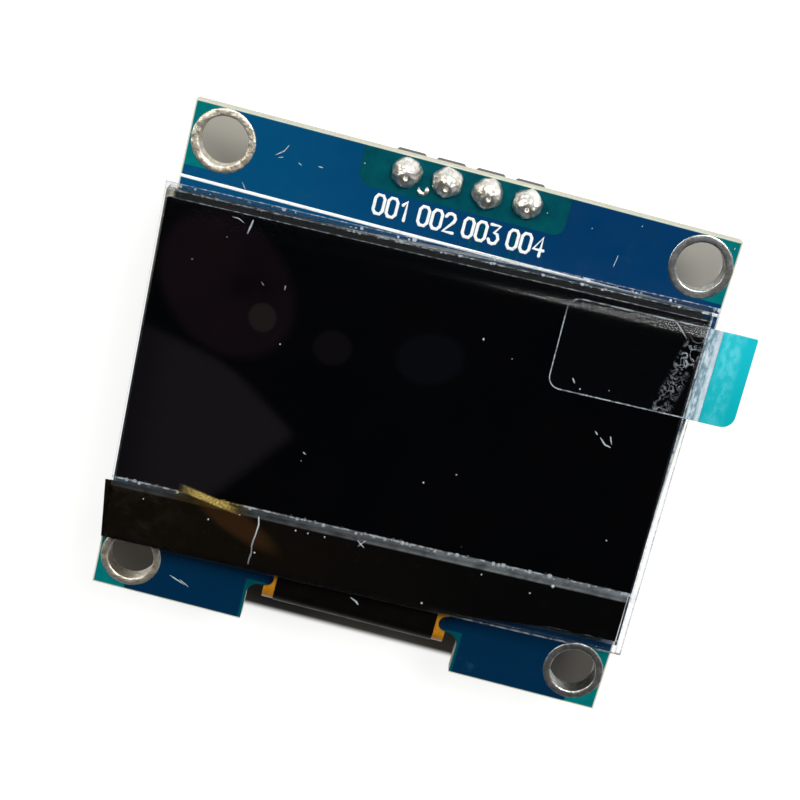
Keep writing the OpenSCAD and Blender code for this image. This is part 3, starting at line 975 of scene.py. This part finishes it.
chip_skin, shader = new_finish("silicon", rgb(92, 98, 108), 0.12, metallic=0.6)
streaks = cloud(place(shader), 0.5, detail=3, stretch=(0.15, 3, 3))
paint(shader, streaks, rgb(70, 76, 88), rgb(116, 122, 130))
dress(chip_skin, "driver_chip", bevel=0.02)
print("foam and chip dressed")

# %% [markdown]
# ## The polarizer
#
# The black of the screen is a plastic sheet, the polarizer. It is as smooth as glass but not as even. Its
# colour carries painted reflections: a slight purple patch at the upper left and a grey patch at the lower
# left, standing in for what the glossy sheet mirrors. A pure black would look like a hole, so the tint
# wanders a little.

# %% Polarizer
black_screen, shader = new_finish("polarizer", rgb(1, 1, 2), 0.09, IOR=1.25)
point = place(shader, on_panel=True)
x, y, z = axes(point)
soft = cloud(point, 5, detail=2)
colour = blend(fade(soft, 0.3, 0.7), rgb(0, 1, 2), rgb(2, 2, 3))
# Painted reflection: a faint purple patch at the upper left, as the glossy sheet would mirror its
# surroundings.
painted_purple_reflection = product(patch(x, y, (-12.2, 6.3), (4.8, 3.8), -45, 0.12), fade(soft, 0.1, 0.6))
colour = blend(painted_purple_reflection, colour, rgb(16, 9, 13))
# Painted reflection: a grey patch at the lower left.
grease_and_painted_reflection = product(
    beside(x, y, (-10.9, 1.2), 165, 0.5), beside(x, y, (-6.4, -2.1), 144, 0.5),
    beside(x, y, (-9.9, -6.5), 51, 0.6), between(fade(x, -17, -14), 0.5, 1.0),
)
colour = blend(grease_and_painted_reflection, colour, rgb(21, 18, 21))
for centre, radii, tint in (
    ((-9.7, 4.8), (0.85, 0.9), (27, 23, 23)),
    ((-5.1, 3.9), (1.2, 1.1), (10, 8, 10)),
    ((0.9, 4.6), (2.1, 1.6), (6, 7, 11)),
):
    colour = blend(patch(x, y, centre, radii, 15, 0.15), colour, rgb(*tint))
feed(shader.inputs["Base Color"], colour)
low, high = polar
shape = slab(rounded(low.x, low.y, high.x, high.y, (0.15,) * 4, 3), low.z, high.z)
add_piece("black_polarizer", shape, black_screen, ["polarizer"], on_panel=True, bevel=0.03)
print("polarizer", round(high.x - low.x, 2), "x", round(high.y - low.y, 2), "mm")

# %% [markdown]
# ## The black tape on the ledge
#
# Someone cut this tape by hand, so its edges wander by a few hundredths of a millimetre and its corner is
# cut off at a slant. The outline is the solid's own, divided finely, with each point nudged by smooth
# noise.

# %% Hand-cut tape
def divided(outline, step):
    """An outline with points added so that none are further apart than step."""
    points = []
    for (x0, y0), (x1, y1) in zip(outline, outline[1:] + outline[:1]):
        count = max(1, round(math.hypot(x1 - x0, y1 - y0) / step))
        points += [(x0 + (x1 - x0) * k / count, y0 + (y1 - y0) * k / count) for k in range(count)]
    return points


def top_outline(name):
    """The corners of a flat solid's top face, along the panel's x and y, as a set in no order."""
    mesh = nodes[name].data
    top = max(vertex.co.z for vertex in mesh.vertices)
    corners = {
        (round(p.x, 3), round(p.y, 3))
        for p in (panel_matrix.inverted() @ (v.co / MM) for v in mesh.vertices if v.co.z > top - 0.00001)
    }
    return corners


tape_corners = top_outline("ledge_tape")
middle = Vector((0, tape[0].y + 2.0))
tape_outline = sorted(tape_corners, key=lambda p: math.atan2((p[1] - middle.y) * 8, p[0] - middle.x))
wavy = []
for px, py in divided(tape_outline, 0.25):
    nudge = noise.noise(Vector((px * 1.7, py * 1.7, 0.3))) * 0.05
    wavy.append((px, py + nudge if tape[0].y + nudge < py else py))

tape_skin, shader = new_finish("black_tape", rgb(12, 10, 7), 0.2, IOR=1.3)
point = place(shader, on_panel=True)
x, y, z = axes(point)
browned = product(patch(x, y, (-8.8, -8.8), (2.9, 0.75), -24, 0.4), 0.9)
paler = product(fade(x, -10, -15), fade(cloud(point, 1.2, detail=4), 0.4, 0.7))
colour = blend(fade(x, -12, 12), rgb(13, 9, 4), rgb(3, 3, 3))
colour = blend(paler, colour, rgb(26, 22, 16))
paint(shader, browned, colour, rgb(46, 29, 12))
roughen(shader, cloud(point, 0.8, detail=4), 0.14, 0.34)
relief(shader, cloud(point, 1.2, detail=3), 0.012)
shape = slab(wavy, tape[0].z, tape[1].z)
add_piece("ledge_tape_cut", shape, tape_skin, ["ledge_tape"], on_panel=True)
print("tape outline with", len(wavy), "points")

# %% [markdown]
# ## The protective film
#
# The film is the piece that makes this screen look new and handled at once. It lies flat on the polarizer,
# sinks over its lower edge on to the ledge, and hangs free past the glass. Cloth simulation could drape it,
# but plastic film is stiff and the drape is known: a smooth step whose foot wanders, with one pocket of
# trapped air. The dust is in the finish: rows of specks along the edges where glue meets air, and a grey
# line at the step. The finish also holds painted light: the pale lines along the film's and the glass's
# edges and along the step are partly dust and partly painted glints, and the gold by the air pocket is a
# painted reflection of warm light.

# %% Drape the film
film_thickness = 0.08
step_y = polar[0].y
ledge_level = film[0].z
step_reach = 1.1
pocket_x = -10.6


def film_under(x, y):
    """Lower level of the film: on the polarizer, down the step, then on the ledge."""
    pocket = math.exp(-((x - pocket_x) / 1.6) ** 2)
    foot = 0.42 + 0.12 * noise.noise(Vector((x * 0.8, 3.1, 0))) + 0.55 * pocket
    share = min(max((step_y - y) / foot, 0), 1)
    share = share * share * (3 - 2 * share)
    return polar[1].z + 0.001 - share * (polar[1].z - ledge_level)


def even(start, end, count):
    """Places from start to end in a number of even steps."""
    return [start + (end - start) * k / count for k in range(count + 1)]


upper = even(step_y, film[1].y, 6)
slope = [step_y - step_reach * k / 18 for k in range(1, 19)]
lower = even(step_y - step_reach, film[0].y, 6)[1:]
film_ys = sorted(set(upper + slope + lower))
film_xs = even(film[0].x, film[1].x, 110)
shape = sheet_of(film_xs, film_ys, film_under, film_thickness)
bmesh.ops.recalc_face_normals(shape, faces=shape.faces)


# %% Dust under the film
crease_x = -7.12
least_haze = 0.0005


def film_dust(point):
    """Mask of everything that keeps the film from being clear: dust, painted glints on the edges and the
    step, and a painted gold reflection.
    """
    x, y, z = axes(point)
    breaks = fade(cloud(point, 0.45, detail=5, rough=0.7), 0.44, 0.6)
    fine = cloud(point, 0.14, detail=4, rough=0.7)
    beads = specks(point, 0.3, 0.16, 0.6)
    grains = product(specks(point, 0.8, 0.08, 0.05), 0.8)
    rightward = fade(x, -14, 14)
    # Pale lines along the film's and the glass's edges and along the step: partly dust, partly painted glints
    # of light on those edges.
    lines = [
        (y, film[1].y, 0.03, 0.03, 0.06, 0.5),
        (y, glass[1].y, 0.02, 0.03, 0.03, 0.3),
        (y, polar[1].y, 0.015, 0.03, 0.02, 0.22),
        (x, film[1].x, 0.04, 0.04, 0.2, 0.8),
        (x, glass[1].x, 0.03, 0.04, 0.1, 0.6),
        (y, step_y + 0.12, 0.025, 0.05, 0.08, 0.4),
    ]
    marks = [grains] + [
        product(near(axis, at, reach, soft), between(breaks, faint, strong))
        for axis, at, reach, soft, faint, strong in lines
    ]
    # The film's lower edge: partly dust, partly a painted glint.
    foot_rim = product(near(y, film[0].y, 0.06, 0.05), between(breaks, 0.15, 0.8))
    marks.append(product(foot_rim, fade(x, 4, 10)))
    for at, reach, soft, left, right in (
        (film[1].y - 0.06, 0.16, 0.05, 0.3, 0.75),
        (glass[1].y, 0.07, 0.04, 0.15, 0.5),
        (step_y + 0.1, 0.12, 0.06, 0.4, 0.4),
    ):
        marks.append(product(near(y, at, reach, soft), beads, between(rightward, left, right)))
    smear = product(span(y, step_y - 0.45, step_y + 0.05, 0.12), between(rightward, 0.03, 0.16))
    patchy = fade(cloud(point, 0.9, detail=5), 0.3, 0.65)
    marks.append(product(smear, between(patchy, 0.4, 1.0)))
    # Painted reflection: a gold glint of warm light along the step by the air pocket.
    along_gold_glint = plus(y, product(minus(x, pocket_x), 0.2))
    gold = product(near(along_gold_glint, step_y + 0.02, 0.14, 0.16), near(x, pocket_x, 0.5, 1.7))
    marks.append(product(gold, between(fade(fine, 0.4, 0.62), 0.25, 0.95)))
    wobble = product(cloud(point, 1.6, detail=2), 0.5)
    crease = product(near(plus(x, wobble), crease_x, 0.02, 0.04), span(y, -11.3, -8.1, 0.15))
    marks.append(product(crease, between(fade(y, -10.5, -8.3), 0.16, 0.6)))
    return largest(*marks, least_haze)


def film_tint(point):
    """The colour on the film: pale for dust and painted glints, and gold for the painted reflection by the
    air pocket.
    """
    x, y, z = axes(point)
    # Painted reflection: gold by the air pocket.
    painted_gold_glint = product(near(x, pocket_x, 1.6, 1.2), near(y, step_y, 0.5, 0.2))
    return blend(painted_gold_glint, rgb(205, 214, 220), rgb(190, 166, 92))


film_skin = clear_finish("clear_film", film_tint, film_dust, roughness=0.1, ior=1.2)
add_piece("draped_film", shape, film_skin, ["protective_film"], on_panel=True, smooth=True)
print("film", len(film_ys), "x", len(film_xs), "points; step", round(polar[1].z - ledge_level, 2), "mm")

# %% [markdown]
# ## The pull tab
#
# The tab is a second clear film, stuck to the first along one end, with a teal grip at the other. Its
# outline shows as a fine pale line, trapped bubbles draw squiggles near the screen's edge, and the strip
# between the screen and the grip is frosted. Squiggles are what a noise pattern looks like when only one
# narrow level of it is kept.

# %% Tab and grip
tab_radius = 0.8


def tab_dust(point):
    """Mask of everything that keeps the tab from being clear."""
    x, y, z = axes(point)
    corner_x = calc("MAXIMUM", minus(tab_radius, inset(x, tab[0].x, tab[1].x)), 0.0)
    corner_y = calc("MAXIMUM", minus(tab_radius, inset(y, tab[0].y, tab[1].y)), 0.0)
    reach = length_of(corner_x, corner_y)
    outline = fade(reach, tab_radius - 0.08, tab_radius - 0.03)
    broken = between(fade(cloud(point, 0.5, detail=5), 0.42, 0.6), 0.15, 0.7)
    level = cloud(point, 0.5, detail=2, rough=0.5, twist=0.9)
    squiggle = near(level, 0.5, 0.008, 0.03)
    lean = product(minus(y, 7.0), -0.22)
    drift = plus(x, lean)
    field = product(near(drift, 15.9, 0.3, 0.45), span(y, tab[0].y + 0.25, tab[1].y - 0.25, 0.4))
    clumps = between(fade(cloud(point, 1.1, detail=3), 0.35, 0.6), 0.12, 0.5)
    bubbles = product(field, squiggle, clumps, between(fade(y, 5.5, 9), 0.55, 1.0))
    frosted = span(x, glass[1].x + 0.12, tab[1].x, 0.1)
    frost = product(frosted, between(cloud(point, 0.4, detail=5), 0.62, 1.0))
    grains = product(specks(point, 0.8, 0.09, 0.08), 0.6)
    return largest(product(outline, broken), bubbles, frost, grains, least_haze)


def tab_colour(point):
    """The dust under the tab: grey on the screen, frosted and streaked beside it."""
    x, y, z = axes(point)
    streaks = cloud(point, 0.5, detail=5, rough=0.65, stretch=(2.5, 0.7, 1))
    frosted = blend(fade(streaks, 0.4, 0.66), rgb(104, 142, 160), rgb(214, 230, 238))
    by_grip = near(x, grip[0].x - 0.1, 0.12, 0.2)
    frosted = blend(product(by_grip, 0.7), frosted, rgb(206, 226, 236))
    return blend(fade(x, glass[1].x - 0.2, glass[1].x + 0.1), rgb(186, 196, 204), frosted)


tab_skin = clear_finish("clear_tab", tab_colour, tab_dust, roughness=0.14, ior=1.2)
low, high = tab
shape = slab(rounded(low.x, low.y, high.x, high.y, (tab_radius,) * 4, 8), low.z + air, high.z)
add_piece("clear_pull_tab", shape, tab_skin, ["pull_tab"], on_panel=True)

grip_skin, shader = new_finish("teal_grip", rgb(0, 172, 184), 0.35, IOR=1.4)
point = place(shader, on_panel=True)
x, y, z = axes(point)
mottle = cloud(point, 0.45, detail=4, stretch=(1.4, 0.7, 1))
upward = fade(y, grip[0].y, grip[1].y)
colour = blend(upward, rgb(0, 168, 178), rgb(14, 184, 198))
band = product(near(x, grip[0].x + 0.75, 0.3, 0.6), between(upward, 0.45, 1.0))
band = product(band, between(fade(mottle, 0.4, 0.62), 0.1, 0.6))
paint(shader, band, colour, rgb(104, 214, 226))
relief(shader, mottle, 0.004)
low, high = grip
shape = slab(rounded(low.x, low.y, high.x, high.y, (0, tab_radius, 0.12, 0), 8), low.z, high.z)
add_piece("teal_grip", shape, grip_skin, ["tab_grip"], on_panel=True, bevel=0.015)
print("tab", round(tab[1].x - tab[0].x, 2), "mm long, grip", round(high.x - low.x, 2), "mm")

# %% [markdown]
# ## The flex tail
#
# The tail is amber polyimide, thin as paper, with copper lines inside and a black cover over most of it. It
# folds round the board's lower edge through the notch. The fold is already true in the solids, so only the
# finish is new: copper lines that show through the amber, and a dull black on the cover.

# %% Flex finishes
amber, shader = new_finish("amber_flex", rgb(176, 112, 16), 0.35, IOR=1.4)
point = place(shader)
x, y, z = axes(point)
contact_pitch = 0.62
lines = calc("PINGPONG", plus(x, contact_pitch * 50.5), contact_pitch / 2)
copper_line = product(fade(lines, 0.16, 0.12), span(x, -9.2, 9.2, 0.02), fade(z, 0.4, 0.2))
mottled = blend(cloud(point, 0.5, detail=4), rgb(150, 92, 10), rgb(196, 134, 30))
paint(shader, copper_line, mottled, rgb(140, 78, 24))
relief(shader, copper_line, 0.02)
dress(amber, "flex_tail")

cover_skin, shader = new_finish("black_cover", rgb(6, 6, 5), 0.42, IOR=1.15)
point = place(shader)
paint(shader, cloud(point, 1.2, detail=4), rgb(3, 3, 2), rgb(10, 9, 7))
roughen(shader, cloud(point, 0.7, detail=4), 0.3, 0.55)
relief(shader, cloud(point, 0.25, detail=3), 0.006)
dress(cover_skin, "flex_cover")
dress(solder, "flex_solder", "component_solder", bevel=0.03)
print("flex dressed")

# %% [markdown]
# ## Header, pins and the parts on the rear
#
# The header's plastic is moulded, with a fine grain. Its pins are plated with gold and drawn along their
# length, so their scratches run that way. On the rear sit chip capacitors, chip resistors and a small
# regulator.

# %% Header and pins
plastic, shader = new_finish("header_plastic", rgb(20, 20, 21), 0.5, IOR=1.4)
grain = cloud(place(shader), 0.12, detail=3)
paint(shader, grain, rgb(14, 14, 15), rgb(30, 30, 31))
relief(shader, grain, 0.012)
dress(plastic, "header_body", bevel=0.05)

gold, shader = new_finish("gold_plate", rgb(226, 186, 104), 0.2, metallic=1.0)
drawn_lines = cloud(place(shader), 0.1, detail=3, stretch=(1, 1, 0.08))
paint(shader, drawn_lines, rgb(206, 160, 82), rgb(240, 206, 130))
roughen(shader, drawn_lines, 0.14, 0.32)
dress(gold, *[name for name in nodes if name.startswith("header_pin_")], bevel=0.02)

lead_colours = (rgb(222, 222, 220), rgb(170, 170, 168), rgb(110, 106, 98))
lead_metal = metal("tinned_lead", *lead_colours, 0.2, 0.2, 0.4, 0.01, size=0.2)
dress(lead_metal, "regulator_leads", bevel=0.02)

moulded, shader = new_finish("moulded_chip", rgb(30, 30, 32), 0.6, IOR=1.45)
grain = cloud(place(shader), 0.08, detail=3)
paint(shader, grain, rgb(22, 22, 24), rgb(44, 44, 46))
relief(shader, grain, 0.01)
dress(moulded, "regulator_body", bevel=0.06)
print("header, pins and regulator dressed")


# %% Chip parts
def chip_finish(name, dark, light, row_name, coating=None):
    """Ceramic with bright metal on both ends, told apart by the distance from the row's middle."""
    material, shader = new_finish(name, dark, 0.45)
    point = place(shader)
    x, y, z = axes(point)
    low, high = box_mm(row_name)
    ends = fade(calc("ABSOLUTE", minus(y, (low.y + high.y) / 2)), 0.49, 0.5)
    body = blend(cloud(point, 0.15, detail=4), dark, light)
    if coating:
        body = blend(fade(z, low.z + 0.06, low.z + 0.03), body, coating)
    tin = blend(cloud(point, 0.2, detail=4), rgb(190, 190, 188), rgb(232, 232, 228))
    paint(shader, ends, body, tin)
    feed(shader.inputs["Metallic"], ends)
    roughen(shader, ends, 0.5, 0.26)
    return material


tan = chip_finish("tan_ceramic", rgb(150, 116, 84), rgb(176, 142, 106), "capacitor_1")
dress(tan, *[name for name in nodes if name.startswith("capacitor_")], bevel=0.04)
white = chip_finish("resistor_ceramic", rgb(206, 206, 204), rgb(228, 228, 226), "resistor_1", rgb(18, 18, 20))
dress(white, *[name for name in nodes if name.startswith("resistor_")], bevel=0.03)
print("chip parts dressed")

# %% [markdown]
# ## Dust and scratches
#
# Loose dust lies on the film, the tape and the board: grains, short fibres and a few pale scratches. A
# noise mask can scatter specks, but the marks that the eye remembers have a place and a direction, so these
# are small solid pieces. A fibre is the same lumpy tube as the solder splash, only thinner, and a grain is
# a very short one.

# %% Scatter the dust
dust_skin, shader = new_finish("dust", rgb(206, 216, 222), 0.9)
paint(shader, cloud(place(shader), 0.2), rgb(104, 116, 124), rgb(206, 216, 220))
film_level = film[1].z
tape_level = ledge_level + film_thickness
cover_level = board_top + 1.0


def grain(shape, x, y, level, size, seed):
    """Adds one lump of dust."""
    reach = size * 0.6
    path = [(x - reach, y), (x, y + size * 0.2), (x + reach, y)]
    worm(shape, path, [size * 0.4, size, size * 0.5], level, seed, 0.4, 8)


def fibre(shape, points, level, size, seed):
    """Adds one fibre or scratch along a few points, thinner at its ends."""
    path = []
    for (x0, y0), (x1, y1) in zip(points, points[1:]):
        path += [(x0 + (x1 - x0) * k / 4, y0 + (y1 - y0) * k / 4) for k in range(4)]
    path.append(points[-1])
    swell = [math.sin(math.pi * (k + 0.5) / len(path)) for k in range(len(path))]
    worm(shape, path, [size * 0.75 * (0.35 + 0.65 * share) for share in swell], level, seed, 0.3, 8)


def scatter(shape, level, fibres, grains, sizes):
    """Adds fibres, given as (points, size), and grains of dust, whose sizes take turns."""
    for number, (points, size) in enumerate(fibres):
        fibre(shape, points, level, size, number)
    for number, (x, y) in enumerate(grains):
        grain(shape, x, y, level, sizes[number % len(sizes)], number)


screen_fibres = [
    ([(-11.6, 9.7), (-11.4, 10.6)], 0.07),
    ([(-12.7, 10.5), (-12.3, 10.5), (-11.9, 10.3)], 0.03),
    ([(14.9, 10.4), (15.8, 9.5)], 0.03),
    ([(11.9, 2.5), (12.1, 2.3)], 0.06),
    ([(12.3, 2.2), (12.7, 1.8), (13.1, 1.7)], 0.06),
    ([(12.9, 2.4), (13.1, 1.9)], 0.05),
    ([(-10.2, 7.0), (-10.0, 6.8)], 0.03),
    ([(-8.7, 7.1), (-8.7, 6.8)], 0.03),
    ([(-5.5, -3.1), (-5.3, -3.2)], 0.04),
    ([(9.7, 5.5), (9.9, 5.2)], 0.05),
]
screen_grains = [
    (-14.6, 7.4), (-8.3, 3.4), (3.8, 6.6), (5.8, 5.8), (4.2, -2.3), (2.3, -3.3), (-5.5, -3.7), (10.3, 4.9),
]
ledge_fibres = [([(-0.9, -8.1), (-0.4, -8.5)], 0.05), ([(-0.8, -8.5), (-0.4, -8.0)], 0.04)]
ledge_grains = [
    (-14.8, -8.6), (-10.5, -9.0), (-8.6, -8.2), (-4.9, -8.4),
    (-4.1, -8.4), (-3.0, -8.4), (7.3, -8.5), (10.6, -9.0),
]
on_screen = bmesh.new()
scatter(on_screen, film_level, screen_fibres, screen_grains, (0.05, 0.07, 0.09))
scatter(on_screen, tape_level, ledge_fibres, ledge_grains, (0.06, 0.08))
grain(on_screen, 11.9, -8.2, tape_level, 0.16, 2.5)
fibre(on_screen, [(-0.5, -12.4), (-0.1, -12.6), (0.1, -12.8)], cover_level, 0.08, 5)
add_piece("dust_on_screen", on_screen, dust_skin, on_panel=True, smooth=True)

board_fibres = [
    ([(9.9, 12.6), (10.0, 13.4)], 0.04),
    ([(-13.4, 11.9), (-13.1, 11.5)], 0.04),
    ([(-11.8, 14.0), (-11.3, 14.4), (-11.1, 14.8)], 0.05),
    ([(-11.6, 13.9), (-11.3, 14.0)], 0.04),
    ([(-10.3, 13.9), (-10.1, 13.8)], 0.04),
    ([(-9.1, 14.0), (-8.8, 14.0)], 0.05),
    ([(-12.3, -14.6), (-11.2, -15.0)], 0.06),
    ([(-11.6, -14.7), (-10.9, -15.1)], 0.04),
]
board_grains = [(-6.4, 14.9), (5.1, 14.8), (10.9, 15.5), (14.7, 11.4), (16.7, 15.6), (8.0, 14.6)]
on_board = bmesh.new()
scatter(on_board, ink_level, board_fibres, board_grains, (0.06,))
add_piece("dust_on_board", on_board, dust_skin, smooth=True)
print("fibres on the panel and the board:", len(screen_fibres + ledge_fibres), "and", len(board_fibres))

# %% [markdown]
# ## Floor, lamps and sky
#
# Metal shows whatever is round it, so the light is planned with care: two large soft lamps stand high,
# behind the pin side, and the sky is bright only low down on that side. Overhead it is dim, and the black
# screen mirrors just that part, so it stays black, while rounded solder catches the bright edges. The floor
# is a plain grey that glows white for the camera. The glow stops under the module, and there the floor is
# painted with a shadow, dark under the module's lower edge and lighter under its pin side; the holes look
# down into this painted shade.

# %% Floor
floor_finish, shader = new_finish("floor", (0.27, 0.27, 0.262, 1), 0.9)
rays = shader.id_data.nodes.new("ShaderNodeLightPath").outputs
seen = largest(rays["Is Camera Ray"], rays["Is Glossy Ray"], rays["Is Transmission Ray"])
x, y, z = axes(place(shader))
across = span(x, board_low.x - 0.1, board_high.x + 0.4, 0.5)
under = product(across, span(y, board_low.y - 1.6, board_high.y - 1.4, 0.5))
hole_reach = max(hole.y for hole in holes)
# Painted shadow: under the module the floor is painted dark towards its lower edge and lighter towards the
# pin side.
up_the_board = fade(y, -hole_reach, hole_reach)
shade = blend(up_the_board, (0.085, 0.078, 0.066, 1), (0.34, 0.325, 0.285, 1))
paint(shader, under, (0.27, 0.27, 0.262, 1), shade)
glow = product(seen, minus(1.0, under), 0.82)
shader.inputs["Emission Color"].default_value = (1, 1, 1, 1)
feed(shader.inputs["Emission Strength"], glow)
floor_size = 1.2
floor_place = (0, 0, cad_box[0].z)
bpy.ops.mesh.primitive_grid_add(x_subdivisions=2, y_subdivisions=2, size=floor_size, location=floor_place)
floor = bpy.context.object
floor.name = "floor"
floor.data.materials.append(floor_finish)
print("floor at", round(cad_box[0].z / MM, 2), "mm")


# %% Lamps and sky
def lamp(name, place_mm, size_mm, power, colour=(1, 1, 1)):
    """A square soft lamp that points at the middle of the module."""
    light = bpy.data.lights.new(name, "AREA")
    light.size = size_mm * MM
    light.energy = power
    light.color = colour
    holder = bpy.data.objects.new(name, light)
    bpy.context.collection.objects.link(holder)
    holder.location = Vector(place_mm) * MM
    holder.rotation_euler = (-holder.location).to_track_quat("-Z", "Y").to_euler()
    return holder


lamp("high_lamp", (150, 260, 380), 200, 2.1)
lamp("left_lamp", (-300, 150, 340), 180, 0.9, (1.0, 0.97, 0.9))

world = bpy.data.worlds.new("sky")
bpy.context.scene.world = world
world.use_nodes = True
tree = world.node_tree
x, y, z = axes(wire(tree, "TexCoord", {}, out=0))
low_down = fade(z, 0.75, 0.35)
pin_side = fade(plus(product(y, 0.85), product(x, 0.35)), -0.5, 0.7)
lit = product(low_down, between(pin_side, 0.12, 1.0))
light = blend(lit, (0.012, 0.012, 0.014, 1), (0.86, 0.88, 0.92, 1))
sky_seen = tree.nodes.new("ShaderNodeLightPath").outputs["Is Camera Ray"]
sky = tree.nodes["Background"]
feed(sky.inputs["Color"], blend(sky_seen, light, (1, 1, 1, 1)))
sky.inputs["Strength"].default_value = 1.0
bpy.context.scene.view_settings.view_transform = "Standard"
print("two lamps and a sky that is dim overhead")
